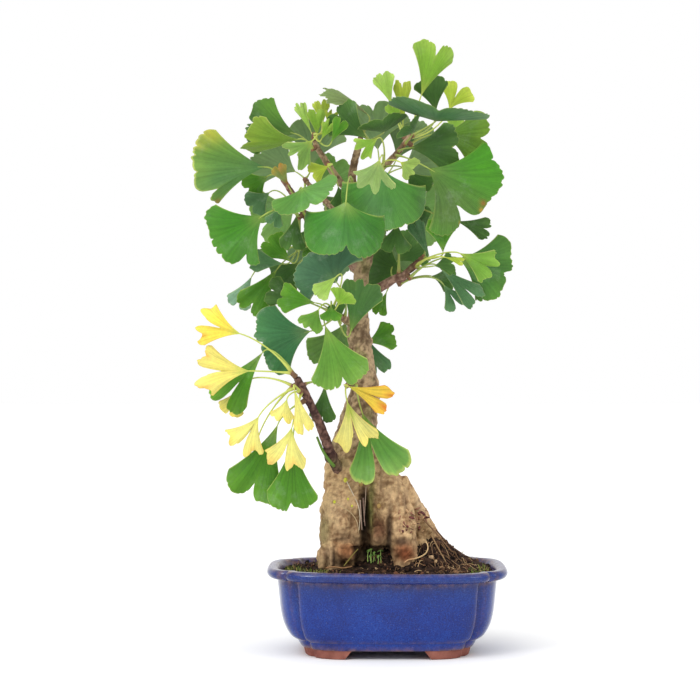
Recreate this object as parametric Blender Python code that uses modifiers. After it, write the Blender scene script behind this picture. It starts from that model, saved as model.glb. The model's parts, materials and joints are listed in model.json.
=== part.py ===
"""Ginkgo bonsai: a knobbly ginkgo trunk with its branches and leaves, grown over soil in a glazed
quatrefoil pot with corner feet. Metres, +Z up. The origin is on the table, under the middle of the
whole object's bounding box."""

import math

import bmesh
import bpy
import numpy as np
from mathutils import Matrix, Vector

# ---------------------------------------------------------------- driving dimensions (metres)
POT_HALF_WIDTH = 0.0900      # rim, to the side
POT_HALF_DEPTH = 0.0675      # rim, to the front
POT_HEIGHT = 0.0640
POT_FLOOR_UNDER = 0.0052     # underside of the pot's floor, on its feet
POT_FLOOR_TOP = 0.0120
POT_WALL = 0.0055
FOOT_HEIGHT = 0.0056
DRAIN_DIAMETER = 0.0120
DRAIN_OFFSET = 0.0420
SCREEN_SIDE = 0.0260
SCREEN_THICKNESS = 0.0010
GAP = 0.0003                 # clearance between neighbouring pieces
SOIL_LEVEL = 0.0595
LEAF_THICKNESS = 0.0006
STALK_RADIUS = 0.0007

# ---------------------------------------------------------------- drawing grid
# Places on the plant are given on a front elevation: u runs right and v runs down in grid units,
# and depth runs back in millimetres from the middle of the pot. The elevation is drawn in
# perspective from EYE_DISTANCE in front of the pot's middle and EYE_HEIGHT above the table.
GRID = 0.18 / 239.0          # metres per grid unit at the pot's middle
EYE_DISTANCE = 1.56
EYE_HEIGHT = 0.2256
EYE_U, EYE_V = 350.0, 350.0
POT_U = 386.8                # the pot's middle on the elevation


def at(u, v, depth):
    """A point of the front elevation, in metres, with the pot's middle at x = y = 0."""
    y = depth * 0.001
    k = GRID * (EYE_DISTANCE + y) / EYE_DISTANCE
    return np.array([(u - EYE_U) * k - (POT_U - EYE_U) * GRID, y, EYE_HEIGHT - (v - EYE_V) * k])


def unit(v):
    return v / max(float(np.linalg.norm(v)), 1e-12)


def turned(v, axis, angle):
    """v turned about a unit axis by an angle in radians."""
    c, s = math.cos(angle), math.sin(angle)
    return v * c + np.cross(axis, v) * s + axis * np.dot(axis, v) * (1 - c)


# ---------------------------------------------------------------- woody stems
# name: [(u, v, depth, radius in mm), ...] from the thick end to the tip
STEMS = {
    "basal_shoot": [(340, 473, -12, 4.2), (331, 455, -28, 4.0), (325, 438, -34, 3.7), (318, 420, -38, 3.3), (309, 401, -42, 3.1), (302, 388, -44, 3.3), (297, 378, -45, 2.6)],
    "low_spur": [(363, 379, -2, 3.2), (356, 381, -12, 2.8), (349, 384, -20, 2.4)],
    "right_branch": [(364, 297, 0, 3.9), (386, 284, -6, 3.5), (394, 279, -9, 3.1), (402, 277, -11, 3.5), (406, 273, -12, 2.6), (413, 267, -13, 2.8), (419, 261, -14, 2.2)],
    "left_branch": [(357, 266, 0, 3.6), (340, 256, -8, 3.2), (325, 245, -15, 2.9), (313, 229, -20, 2.7), (302, 210, -24, 2.6), (292, 193, -26, 2.4), (282, 178, -27, 2.0)],
    "middle_spur": [(356, 326, 0, 3.4), (347, 321, -12, 3.0), (339, 316, -24, 2.6), (333, 312, -34, 2.3)],
    "crown_leader": [(353, 196, 2, 4.2), (352, 180, 4, 3.4), (354, 164, 4, 3.0), (358, 149, 2, 2.7), (361, 137, -1, 2.2)],
    "crown_left": [(351, 194, 2, 3.4), (341, 183, -2, 2.9), (333, 172, -6, 2.7), (325, 160, -10, 2.4), (318, 149, -13, 2.2), (314, 140, -15, 1.9)],
    "crown_right": [(353, 194, 3, 3.6), (366, 180, -1, 3.1), (379, 170, -6, 2.8), (391, 160, -10, 2.5), (402, 147, -12, 2.2), (411, 134, -12, 1.9)],
    "rear_branch": [(360, 226, 3, 3.6), (365, 214, 16, 3.1), (371, 202, 29, 2.8), (376, 191, 41, 2.5), (379, 181, 51, 2.2), (380, 170, 59, 1.9)],
    "rear_spur": [(360, 322, 0, 3.2), (362, 318, 11, 2.8), (365, 315, 20, 2.4)],
    "rear_left": [(356, 232, 4, 3.4), (344, 218, 18, 2.8), (331, 206, 31, 2.5), (318, 194, 42, 2.2), (307, 182, 48, 1.9)],
}


def stem_point(stem, t):
    """Centre, direction and radius (metres) at the fraction t of a stem's length."""
    raw = STEMS[stem]
    pts = [at(u, v, d) for u, v, d, r in raw]
    run = [0.0]
    for a, b in zip(pts, pts[1:]):
        run.append(run[-1] + float(np.linalg.norm(b - a)))
    s = t * run[-1]
    for i in range(len(pts) - 1):
        if s <= run[i + 1] + 1e-12:
            f = (s - run[i]) / (run[i + 1] - run[i])
            r = raw[i][3] + (raw[i + 1][3] - raw[i][3]) * f
            return pts[i] + (pts[i + 1] - pts[i]) * f, unit(pts[i + 1] - pts[i]), r * 0.001
    return pts[-1], unit(pts[-1] - pts[-2]), raw[-1][3] * 0.001


# ---------------------------------------------------------------- leaves
# One line for each leaf: the node, the leaf's own name, the stem it grows on and how far along, the
# foot of the blade, the middle of its outer margin (u, v, depth), half the angle of the fan in
# degrees, then the shape: roll about the midrib, cup (sides bent back), droop (bent along its length),
# notch depth and place (-1 left edge to 1 right edge), depth of the smaller lobes, wave, tone.
LEAVES = []


def leaf(node, stem, t, base, tip, spread, roll=0, cup=25, droop=15, notch=0.15, where=0.0, lobes=0.0, wave=1.0, tone="green", name=None, bow=0.3):
    LEAVES.append(dict(node=node, name=name or node, stem=stem, t=t, base=base, tip=tip, spread=spread, roll=roll, cup=cup, droop=droop, notch=notch, where=where, lobes=lobes, wave=wave, tone=tone, bow=bow, seed=len(LEAVES)))


# the top of the crown
leaf("leaf_top_upright", "crown_right", 1.0, (421, 96, -14), (437, 43, -18), 28, roll=14, cup=30, notch=0.26, where=0.1, tone="young")
leaf("leaves_top_small", "crown_right", 0.93, (392, 106, -2), (382, 74, -4), 23, cup=35, tone="pale", name="leaf_top_pale", notch=0.08)
leaf("leaves_top_small", "crown_right", 0.93, (403, 126, 3), (402, 82, 3), 14, tone="lemon", name="leaf_top_narrow")
leaf("leaves_top_small", "crown_right", 0.93, (401, 125, -6), (391, 104, -8), 24, tone="young", name="leaf_top_short")
leaf("leaf_top_dark", "crown_right", 0.97, (436, 112, 18), (430, 78, 8), 34, tone="dark")
leaf("leaves_top_small", "crown_right", 0.95, (449, 110, 34), (461, 84, 38), 46, notch=0.45, tone="lemon", name="leaf_top_yellow_behind")
leaf("leaf_right_top_wide", "crown_right", 0.99, (436, 121, -30), (440, 104, -74), 74, cup=15, droop=20, tone="dark")
leaf("leaf_right_top_olive", "crown_right", 0.9, (441, 134, -4), (488, 139, -6), 42, tone="olive")
leaf("leaves_top_left", "crown_leader", 1.0, (368, 115, -12), (322, 92, -20), 36, roll=68, droop=35, lobes=0.1, tone="grey", name="leaf_top_ribbed", wave=0.6, notch=0.05)
leaf("leaves_top_left", "crown_leader", 0.95, (367, 139, -26), (334, 112, -32), 36, cup=40, tone="dark", name="leaf_top_folded")
leaf("leaf_top_centre", "crown_leader", 0.9, (384, 132, -22), (382, 118, -50), 50, droop=25, tone="dark")
leaf("leaf_top_right_centre", "crown_right", 0.85, (413, 133, -26), (408, 124, -48), 32, droop=22, tone="dark", bow=0.2)
leaf("leaf_right_shade", "crown_right", 0.75, (409, 148, -24), (458, 147, -34), 36, tone="dark")

# the front of the crown
leaf("leaf_right_large", "crown_right", 0.7, (428, 168, -44), (489, 205, -52), 58, notch=0.26, where=0.36, lobes=0.07, tone="green")
leaf("leaf_front_centre", "crown_leader", 0.2, (346, 201, -74), (342, 257, -84), 86, notch=0.14, where=-0.05, tone="green", cup=78)
leaf("leaf_front_right", "crown_right", 0.25, (384, 170, -40), (383, 228, -50), 84, notch=0.12, where=0.35, tone="bright", bow=0.12, cup=74)
leaf("leaves_front_small", "crown_right", 0.5, (380, 159, -68), (370, 192, -74), 48, notch=0.3, where=-0.4, lobes=0.25, tone="pale", name="leaf_front_young", bow=0.12)
leaf("leaves_front_small", "crown_right", 0.62, (378, 138, -46), (357, 153, -50), 36, lobes=0.25, tone="young", name="leaf_front_small_left", bow=0.15)
leaf("leaves_front_small", "crown_right", 0.62, (400, 162, -64), (417, 172, -68), 50, lobes=0.25, notch=0.2, tone="lemon", name="leaf_front_small_right", bow=0.12)

# the left of the crown
leaf("leaves_left_upper", "crown_left", 0.9, (296, 134, -18), (247, 121, -18), 44, lobes=0.05, tone="dark", name="leaf_left_dark")
leaf("leaves_left_upper", "crown_left", 0.8, (299, 139, -32), (244, 140, -42), 40, roll=-60, cup=45, tone="bright", name="leaf_left_edge")
leaf("leaf_left_large", "left_branch", 0.97, (266, 167, -26), (193, 167, -38), 37, notch=0.22, where=-0.65, lobes=0.05, tone="bright")
leaf("leaf_left_under", "left_branch", 0.9, (268, 176, -8), (246, 190, -6), 46, tone="green")
leaf("leaf_left_butterfly", "left_branch", 0.8, (302, 188, -46), (312, 208, -66), 108, cup=10, droop=30, tone="bright")
leaf("leaf_left_lower_large", "left_branch", 0.72, (264, 215, -46), (218, 248, -54), 49, notch=0.2, where=-0.6, tone="green")
leaf("leaves_left_inner", "left_branch", 0.66, (281, 207, -32), (272, 225, -36), 32, tone="blue", name="leaf_left_bluish_small")
leaf("leaves_left_inner", "left_branch", 0.6, (297, 214, -34), (291, 249, -38), 26, tone="dark", name="leaf_left_hanging_dark")
leaf("leaves_left_inner", "left_branch", 0.5, (291, 262, -20), (266, 240, -22), 36, tone="green", name="leaf_left_inner")
leaf("leaves_left_inner", "left_branch", 0.45, (284, 264, -30), (252, 260, -38), 24, tone="blue", name="leaf_left_bluish_tip")
leaf("leaves_left_hanging", "left_branch", 0.4, (278, 268, -14), (248, 310, -14), 24, droop=25, tone="green", name="leaf_left_long_hanging")
leaf("leaves_left_hanging", "left_branch", 0.35, (252, 276, 4), (236, 307, 6), 26, notch=0.35, tone="grey", name="leaf_left_pale_behind")

# the young shoot on the left of the crown
leaf("leaves_young_shoot", "crown_left", 1.0, (312, 134, -14), (299, 104, -12), 13, tone="pale", name="leaf_young_1")
leaf("leaves_young_shoot", "crown_left", 1.0, (317, 137, -22), (316, 110, -26), 24, tone="young", name="leaf_young_2")
leaf("leaves_young_shoot", "crown_left", 1.0, (322, 128, -6), (321, 101, -4), 22, tone="lemon", name="leaf_young_3")
leaf("leaves_young_shoot", "crown_left", 1.0, (328, 128, -16), (333, 110, -18), 30, lobes=0.2, tone="lemon", name="leaf_young_4")
leaf("leaves_young_shoot", "crown_left", 1.0, (321, 140, -28), (331, 121, -34), 24, lobes=0.2, tone="young", name="leaf_young_5")
leaf("leaves_young_shoot", "crown_left", 0.95, (313, 140, -42), (290, 162, -50), 40, notch=0.3, where=0.1, lobes=0.3, tone="young", name="leaf_young_lobed")
leaf("leaf_young_yellow", "crown_left", 0.6, (329, 166, -34), (311, 174, -42), 34, tone="lemon")
leaf("leaf_left_variegated", "left_branch", 0.6, (289, 187, -34), (277, 166, -36), 24, tone="olive")

# the middle of the crown, in front of the trunk
leaf("leaf_middle_bluish", "middle_spur", 0.6, (337, 283, -48), (312, 251, -54), 90, notch=0.2, where=0.15, tone="blue", cup=30)
leaf("leaf_middle_ribbed", "left_branch", 0.25, (321, 268, -30), (313, 246, -32), 42, tone="green")
leaf("leaves_middle_small", "middle_spur", 1.0, (337, 276, -72), (317, 295, -78), 24, cup=40, tone="pale", name="leaf_middle_pale", notch=0.04)
leaf("leaves_middle_small", "middle_spur", 1.0, (338, 305, -74), (346, 291, -82), 58, cup=35, tone="young", name="leaf_middle_curled", notch=0.08)
leaf("leaves_middle_small", "middle_spur", 1.0, (331, 306, -68), (331, 321, -74), 50, tone="green", name="leaf_middle_short")
leaf("leaves_middle_small", "middle_spur", 1.0, (319, 309, -68), (307, 330, -74), 42, cup=40, lobes=0.15, tone="bright", name="leaf_middle_curled_left")
leaf("leaf_middle_right", "middle_spur", 0.8, (350, 334, -50), (366, 281, -50), 28, lobes=0.05, tone="green")
leaf("leaves_middle_left", "middle_spur", 0.9, (316, 303, -48), (280, 297, -54), 28, tone="green", name="leaf_middle_left_up")
leaf("leaves_middle_left", "middle_spur", 0.5, (302, 300, -28), (268, 289, -30), 30, tone="dark", name="leaf_middle_left_dark")
leaf("leaf_middle_left_large", "middle_spur", 0.85, (311, 331, -32), (257, 344, -32), 50, notch=0.12, lobes=0.06, tone="blue")
leaf("leaf_middle_hanging", "middle_spur", 0.95, (325, 325, -66), (345, 385, -72), 33, tone="bright")
leaf("leaves_behind_trunk", "rear_spur", 1.0, (366, 343, 18), (394, 333, 26), 34, tone="green", name="leaf_behind_trunk_upper")
leaf("leaves_behind_trunk", "rear_spur", 1.0, (366, 336, 30), (379, 373, 32), 26, tone="blue", name="leaf_behind_trunk_lower")

# the right of the crown
leaf("leaves_right_behind", "right_branch", 0.5, (405, 272, 12), (364, 262, 26), 50, tone="dark", name="leaf_right_behind_branch")
leaf("leaf_right_under_front", "right_branch", 0.66, (397, 222, -28), (394, 253, -30), 38, notch=0.25, tone="dark")
leaf("leaves_right_upright", "right_branch", 1.0, (443, 253, -34), (441, 219, -40), 33, tone="green", name="leaf_right_upright", bow=0.15)
leaf("leaf_right_dark_small", "crown_right", 0.3, (456, 221, -22), (489, 230, -20), 23, tone="dark")
leaf("leaves_right_lower", "right_branch", 0.74, (458, 258, -24), (510, 275, -30), 50, lobes=0.05, tone="green", name="leaf_right_lower_large")
leaf("leaves_right_light", "right_branch", 0.93, (459, 253, -50), (495, 270, -58), 30, tone="young", name="leaf_right_light", bow=0.15, lobes=0.12)
leaf("leaves_right_light", "right_branch", 0.93, (444, 257, -54), (463, 262, -58), 14, tone="lemon", name="leaf_right_light_narrow", bow=0.15)
leaf("leaves_right_shade", "right_branch", 0.58, (431, 276, -6), (455, 280, -4), 42, tone="dark", name="leaf_right_shade_low")
leaf("leaves_right_upright", "right_branch", 1.0, (430, 259, -22), (414, 222, -24), 15, tone="blue", name="leaf_right_narrow_bluish")
leaf("leaves_right_lower", "right_branch", 0.74, (438, 266, -28), (478, 300, -32), 17, notch=0.3, tone="blue", name="leaf_right_long_bluish")
leaf("leaves_right_shade", "right_branch", 0.58, (443, 284, -22), (459, 307, -24), 32, notch=0.45, tone="blue", name="leaf_right_hanging_small")
leaf("leaves_right_behind", "right_branch", 0.5, (387, 291, 10), (378, 314, 12), 22, tone="green", name="leaf_by_trunk_small")

# the yellow leaves at the lower left
leaf("leaves_low_yellow", "basal_shoot", 1.0, (241, 334, -58), (197, 321, -64), 30, notch=0.55, tone="yellow", name="leaf_low_yellow_top", lobes=0.16)
leaf("leaves_low_yellow", "basal_shoot", 0.99, (250, 371, -54), (196, 371, -60), 24, notch=0.5, tone="yellow", name="leaf_low_yellow_left", lobes=0.16)
leaf("leaf_low_green_left", "basal_shoot", 0.97, (263, 352, -36), (222, 404, -38), 22, notch=0.4, tone="green")
leaf("leaves_low_small", "basal_shoot", 0.95, (242, 386, -30), (228, 414, -28), 30, tone="yellow", name="leaf_low_pale_behind")
leaf("leaf_low_yellow_lobed", "basal_shoot", 0.93, (259, 416, -52), (238, 452, -58), 32, notch=0.5, tone="yellow", lobes=0.2)
leaf("leaves_low_front", "basal_shoot", 0.9, (287, 399, -60), (281, 422, -64), 34, tone="yellow", name="leaf_low_square", lobes=0.12)
leaf("leaves_low_front", "basal_shoot", 0.96, (294, 388, -66), (305, 431, -72), 15, tone="yellow", name="leaf_low_long")
leaf("leaf_low_yellow_fork", "basal_shoot", 0.88, (292, 427, -62), (282, 470, -66), 30, notch=0.7, where=0.05, tone="yellow", lobes=0.14)
leaf("leaves_low_small", "basal_shoot", 0.85, (256, 446, -36), (251, 477, -36), 26, tone="lemon", name="leaf_low_small_left")
leaf("leaves_low_green", "basal_shoot", 0.8, (278, 424, -40), (249, 496, -42), 22, tone="green", name="leaf_low_green_hanging_left")
leaf("leaves_low_green", "basal_shoot", 0.7, (293, 440, -50), (291, 508, -50), 22, tone="green", name="leaf_low_green_hanging_right")

# low on the trunk
leaf("leaves_trunk_yellow", "low_spur", 1.0, (347, 401, -46), (359, 449, -52), 30, notch=0.6, tone="yellow", name="leaf_trunk_yellow_fork", lobes=0.12)
leaf("leaves_trunk_yellow", "low_spur", 0.9, (347, 386, -38), (389, 402, -44), 22, notch=0.4, tone="orange", name="leaf_trunk_orange")
leaf("leaf_trunk_green_large", "low_spur", 0.7, (362, 412, -34), (385, 478, -38), 32, notch=0.45, where=0.1, tone="green")
leaf("leaf_trunk_dark", "basal_shoot", 0.92, (325, 384, -30), (322, 422, -30), 24, tone="dark", bow=0.15)

# the far side of the crown
leaf("leaf_rear_top", "rear_branch", 1.0, (378, 150, 68), (372, 104, 74), 55, roll=180, tone="dark")
leaf("leaves_rear_right", "rear_branch", 0.95, (402, 168, 70), (443, 158, 84), 55, roll=180, tone="dark", name="leaf_rear_right_upper")
leaf("leaves_rear_right", "rear_branch", 0.8, (402, 205, 66), (445, 224, 80), 58, roll=180, notch=0.2, tone="green", name="leaf_rear_right_lower")
leaf("leaves_rear_middle", "rear_branch", 0.7, (378, 226, 74), (374, 276, 90), 66, roll=180, notch=0.2, tone="dark", name="leaf_rear_middle")
leaf("leaves_rear_middle", "rear_branch", 0.9, (366, 190, 84), (348, 232, 98), 60, roll=180, tone="dark", name="leaf_rear_centre")
leaf("leaves_rear_left", "rear_left", 1.0, (296, 172, 58), (255, 150, 66), 52, roll=180, tone="dark", name="leaf_rear_left_upper")
leaf("leaves_rear_left", "rear_left", 0.85, (296, 205, 60), (258, 228, 72), 56, roll=180, notch=0.2, tone="green", name="leaf_rear_left_lower")
leaf("leaf_rear_left_middle", "rear_left", 0.7, (326, 228, 56), (318, 276, 64), 55, roll=180, tone="blue")
leaf("leaf_rear_low", "rear_spur", 0.8, (346, 322, 40), (330, 368, 50), 48, roll=180, tone="green")
leaf("leaves_young_shoot", "crown_left", 1.0, (331, 143, -36), (342, 120, -42), 22, tone="green", name="leaf_young_6")
leaf("leaf_young_yellow", "crown_left", 0.6, (338, 186, -24), (343, 206, -26), 40, tone="dark", name="leaf_left_shade")
leaf("leaves_front_small", "crown_right", 0.5, (406, 170, -18), (425, 193, -20), 38, tone="dark", name="leaf_right_inner_dark")
leaf("leaf_right_top_olive", "crown_right", 0.9, (450, 150, 10), (468, 116, 14), 34, lobes=0.1, tone="young", name="leaf_right_top_young")
leaf("leaves_left_inner", "left_branch", 0.66, (270, 192, -12), (250, 208, -12), 42, tone="blue", name="leaf_left_bluish_under")
leaf("leaves_left_hanging", "left_branch", 0.4, (318, 220, 2), (306, 252, 4), 38, tone="dark", name="leaf_left_shade_inner")
leaf("leaves_left_hanging", "left_branch", 0.4, (300, 262, 4), (276, 282, 8), 44, tone="dark", name="leaf_left_shade_low")
leaf("leaves_middle_small", "middle_spur", 1.0, (341, 322, -50), (335, 304, -52), 36, tone="dark", name="leaf_middle_shade")
leaf("leaves_right_upright", "right_branch", 1.0, (424, 238, -8), (414, 208, -4), 36, tone="dark", name="leaf_right_shade_upper")
leaf("leaves_right_light", "right_branch", 0.93, (434, 266, -44), (454, 263, -48), 40, tone="dark", name="leaf_right_shade_front")
leaf("leaves_right_behind", "right_branch", 0.5, (396, 262, 18), (420, 240, 24), 52, tone="dark", name="leaf_right_behind_upper")
leaf("leaves_rear_right", "rear_branch", 0.95, (396, 160, 82), (414, 118, 88), 42, roll=180, tone="dark", name="leaf_rear_upper_right")
leaf("leaves_rear_left", "rear_left", 1.0, (312, 166, 50), (318, 120, 52), 48, roll=180, tone="dark", name="leaf_rear_left_top")
leaf("leaves_rear_left", "rear_left", 1.0, (322, 190, 60), (338, 158, 66), 50, roll=180, tone="green", name="leaf_rear_left_inner")



def blade_frame(lf):
    """Foot of the blade, midrib direction, face normal, side direction and length."""
    b, t = at(*lf["base"]), at(*lf["tip"])
    mid = unit(t - b)
    view = np.array([0.0, -1.0, 0.0])
    normal = view - mid * float(np.dot(view, mid))
    if float(np.linalg.norm(normal)) < 0.05:
        normal = np.array([0.0, 0.0, 1.0]) - mid * mid[2]
    normal = turned(unit(normal), mid, math.radians(lf["roll"]))
    return b, mid, normal, np.cross(mid, normal), float(np.linalg.norm(t - b))


def margin(lf, a):
    """Reach of the blade at a (-1 left edge to 1 right edge), as a part of its length."""
    k = lf["seed"] * 1.7
    m = 1.0 - 0.05 * a * a - 0.17 * abs(a) ** 5
    d = abs(a - lf["where"])
    m -= lf["notch"] * math.exp(-(d / 0.10) ** 1.5) + 0.35 * lf["notch"] * math.exp(-(d / 0.28) ** 2)
    m -= lf["lobes"] * (0.5 - 0.5 * math.cos(a * 9.4 + k)) * (1 - 0.4 * abs(a))
    return m + 0.02 * math.sin(a * 5.3 + k) + 0.015 * math.sin(a * 11.0 + 2 * k)


def blade_point(lf, frame, a, s, reach=None):
    """The point of the blade at a across and s out from its foot (0 to 1)."""
    foot, mid, normal, side, size = frame
    phi = math.radians(lf["spread"]) * a * (0.50 + 0.50 * s ** 0.9)
    r = size * s * (margin(lf, a) if reach is None else reach)
    x, y, z = r * math.sin(phi), r * math.cos(phi), 0.0
    k = lf["seed"] * 2.3
    z += 0.035 * size * lf["wave"] * s * s * math.sin(a * 4.0 + k)
    bend = math.radians(lf["droop"])
    if abs(bend) > 1e-3:
        f = y / size
        y = size * (math.sin(bend / 2) - math.sin(bend / 2 - bend * f)) / (2 * math.sin(bend / 2))
        z += size * (math.cos(bend / 2 - bend * f) - math.cos(bend / 2)) / (2 * math.sin(bend / 2))
    cup = math.radians(lf["cup"])
    if abs(cup) > 1e-3:
        q = cup * x / size
        x = math.sin(q) / cup * size
        z -= (1 - math.cos(q)) / cup * size
    return foot + side * x + mid * y + normal * z


def petiole_points(lf, frame, count=7, origin=None):
    """Points of the leaf stalk from the woody stem to just inside the blade."""
    foot, mid, normal, side, size = frame
    bend = math.radians(lf["droop"])
    out = mid * math.cos(bend / 2) + normal * math.sin(bend / 2)
    if origin is None:
        centre, along, radius = stem_point(lf["stem"], lf["t"])
        aim = foot - out * 0.4 * float(np.linalg.norm(foot - centre)) - centre
        if lf["t"] < 0.999:
            aim = aim - along * float(np.dot(aim, along)) * 0.85
        origin = centre + unit(aim) * (radius + 0.0010)
    gap = float(np.linalg.norm(foot - origin))
    c1 = origin + unit(foot - out * gap * 0.5 - origin) * gap * 0.3
    c2 = foot - out * gap * lf["bow"]
    end = foot + out * size * 0.12
    pts = []
    for i in range(count):
        f = i / (count - 1)
        pts.append(origin * (1 - f) ** 3 + c1 * 3 * f * (1 - f) ** 2 + c2 * 3 * f * f * (1 - f) + foot * f ** 3)
    pts.append(end)
    return pts


# ---------------------------------------------------------------- the clean file
for ob in list(bpy.data.objects):
    bpy.data.objects.remove(ob, do_unlink=True)
for group in list(bpy.data.collections):
    bpy.data.collections.remove(group)
PARTS = bpy.data.collections.new("ginkgo_bonsai")
CUTTERS = bpy.data.collections.new("cutters")
bpy.context.scene.collection.children.link(PARTS)
bpy.context.scene.collection.children.link(CUTTERS)


def material(name, colour, roughness, metallic=0.0):
    mat = bpy.data.materials.new(name)
    mat.use_nodes = True
    shader = mat.node_tree.nodes["Principled BSDF"]
    shader.inputs["Base Color"].default_value = (*colour, 1.0)
    shader.inputs["Roughness"].default_value = roughness
    shader.inputs["Metallic"].default_value = metallic
    mat.diffuse_color = (*colour, 1.0)
    return mat


LEAF_COLOURS = {
    "green": (0.10, 0.25, 0.03), "dark": (0.04, 0.12, 0.04), "blue": (0.12, 0.27, 0.16), "bright": (0.18, 0.36, 0.05),
    "young": (0.32, 0.48, 0.08), "pale": (0.45, 0.62, 0.16), "lemon": (0.52, 0.60, 0.06), "yellow": (0.80, 0.72, 0.16),
    "orange": (0.82, 0.56, 0.08), "olive": (0.16, 0.22, 0.05), "grey": (0.20, 0.26, 0.10),
}


def add(name, mesh, mat, group=PARTS):
    ob = bpy.data.objects.new(name, mesh)
    group.objects.link(ob)
    if mat:
        mesh.materials.clear()
        mesh.materials.append(mat)
    return ob


def as_cutter(ob):
    for group in list(ob.users_collection):
        group.objects.unlink(ob)
    CUTTERS.objects.link(ob)
    ob.hide_render = True
    ob.display_type = "WIRE"
    return ob


def applied(ob):
    """The object's evaluated mesh takes the place of its modifiers."""
    bpy.context.view_layer.update()
    deps = bpy.context.evaluated_depsgraph_get()
    mesh = bpy.data.meshes.new_from_object(ob.evaluated_get(deps))
    old = ob.data
    ob.modifiers.clear()
    ob.data = mesh
    bpy.data.meshes.remove(old)
    return ob


def boolean(ob, other, operation, solver="EXACT"):
    mod = ob.modifiers.new(operation.lower(), "BOOLEAN")
    mod.operation = operation
    mod.solver = solver
    mod.object = other
    return mod


def joined(ob, others, solver="EXACT"):
    """One body made of an object and the others, which are then removed."""
    for other in others:
        boolean(ob, other, "UNION", solver)
        applied(ob)
        mesh = other.data
        bpy.data.objects.remove(other, do_unlink=True)
        if mesh.users == 0:
            bpy.data.meshes.remove(mesh)
    return ob


def tube(name, points, radii, resolution, mat=None):
    """A round tube through points, with its own radius at each, as a closed mesh."""
    curve = bpy.data.curves.new(name, "CURVE")
    curve.dimensions = "3D"
    curve.bevel_depth = 1.0
    curve.bevel_resolution = resolution
    curve.use_fill_caps = True
    spline = curve.splines.new("POLY")
    spline.points.add(len(points) - 1)
    for point, co, radius in zip(spline.points, points, radii):
        point.co = (*[float(c) for c in co], 1.0)
        point.radius = float(radius)
    ob = bpy.data.objects.new(name, curve)
    PARTS.objects.link(ob)
    bpy.context.view_layer.update()
    deps = bpy.context.evaluated_depsgraph_get()
    mesh = bpy.data.meshes.new_from_object(ob.evaluated_get(deps))
    bpy.data.objects.remove(ob, do_unlink=True)
    bpy.data.curves.remove(curve)
    bm = bmesh.new()
    bm.from_mesh(mesh)
    bmesh.ops.remove_doubles(bm, verts=bm.verts, dist=1e-6)
    bmesh.ops.recalc_face_normals(bm, faces=bm.faces)
    bm.to_mesh(mesh)
    bm.free()
    return add(name, mesh, mat)


def loft(name, rings, mat=None):
    """A closed skin over rings of points, with a flat cap on the first and on the last."""
    bm = bmesh.new()
    rows = [[bm.verts.new(Vector([float(c) for c in co])) for co in ring] for ring in rings]
    count = len(rows[0])
    for low, high in zip(rows, rows[1:]):
        for i in range(count):
            j = (i + 1) % count
            bm.faces.new((low[i], low[j], high[j], high[i]))
    bm.faces.new(list(reversed(rows[0])))
    bm.faces.new(rows[-1])
    bmesh.ops.recalc_face_normals(bm, faces=bm.faces)
    mesh = bpy.data.meshes.new(name)
    bm.to_mesh(mesh)
    bm.free()
    return add(name, mesh, mat)


def block(name, lo, hi, mat=None, taper=0.0):
    """A box between two corners; its top is narrower by taper on the X sides."""
    bm = bmesh.new()
    bmesh.ops.create_cube(bm, size=1.0)
    for v in bm.verts:
        up = v.co.z > 0
        x = (lo[0], hi[0])[v.co.x > 0]
        v.co = Vector((x * (1 - taper) if up else x, (lo[1], hi[1])[v.co.y > 0], (lo[2], hi[2])[up]))
    mesh = bpy.data.meshes.new(name)
    bm.to_mesh(mesh)
    bm.free()
    return add(name, mesh, mat)


def is_sound(ob):
    """True for one closed body with two faces at every edge."""
    bm = bmesh.new()
    bm.from_mesh(ob.data)
    bmesh.ops.triangulate(bm, faces=bm.faces)
    bm.verts.ensure_lookup_table()
    sound = len(bm.verts) > 0 and all(len(e.link_faces) == 2 for e in bm.edges) and min((e.calc_length() for e in bm.edges), default=0) > 5e-7
    if sound:
        seen, todo = set(), [bm.verts[0]]
        while todo:
            v = todo.pop()
            if v not in seen:
                seen.add(v)
                todo += [e.other_vert(v) for e in v.link_edges]
        sound = len(seen) == len(bm.verts)
    bm.free()
    return sound


def drop(ob):
    mesh = ob.data
    bpy.data.objects.remove(ob, do_unlink=True)
    if mesh.users == 0:
        bpy.data.meshes.remove(mesh)


# ---------------------------------------------------------------- pot
def plan(half_width, half_depth, crease=0.07, count=44):
    """Quatrefoil outline: a rounded oblong drawn in at a crease at each of its four corners."""
    corner = math.atan2(0.78 * POT_HALF_DEPTH, 0.787 * POT_HALF_WIDTH)
    points = []
    for i in range(count):
        a = 2 * math.pi * i / count
        c, s = math.cos(a), math.sin(a)
        r = ((abs(c) / half_width) ** 4 + (abs(s) / half_depth) ** 4) ** -0.25
        q = abs(math.atan2(abs(s), abs(c)) - corner)
        r *= 1 - crease * math.exp(-q / 0.15)
        points.append((r * c, r * s))
    return points


def half_depth(half_width):
    """The rim overhangs evenly all round; below it the front is steeper than the sides."""
    lip = min(POT_HALF_WIDTH - half_width, 0.0078)
    return POT_HALF_DEPTH - lip - 0.35 * (POT_HALF_WIDTH - half_width - lip)


def ring(z, half_width, crease=0.07, inside=0.0):
    """The outline at one height; inside is how far it lies within the pot's outer face."""
    return [(x, y, z) for x, y in plan(half_width, half_depth(half_width + inside) - inside, crease)]


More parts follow.
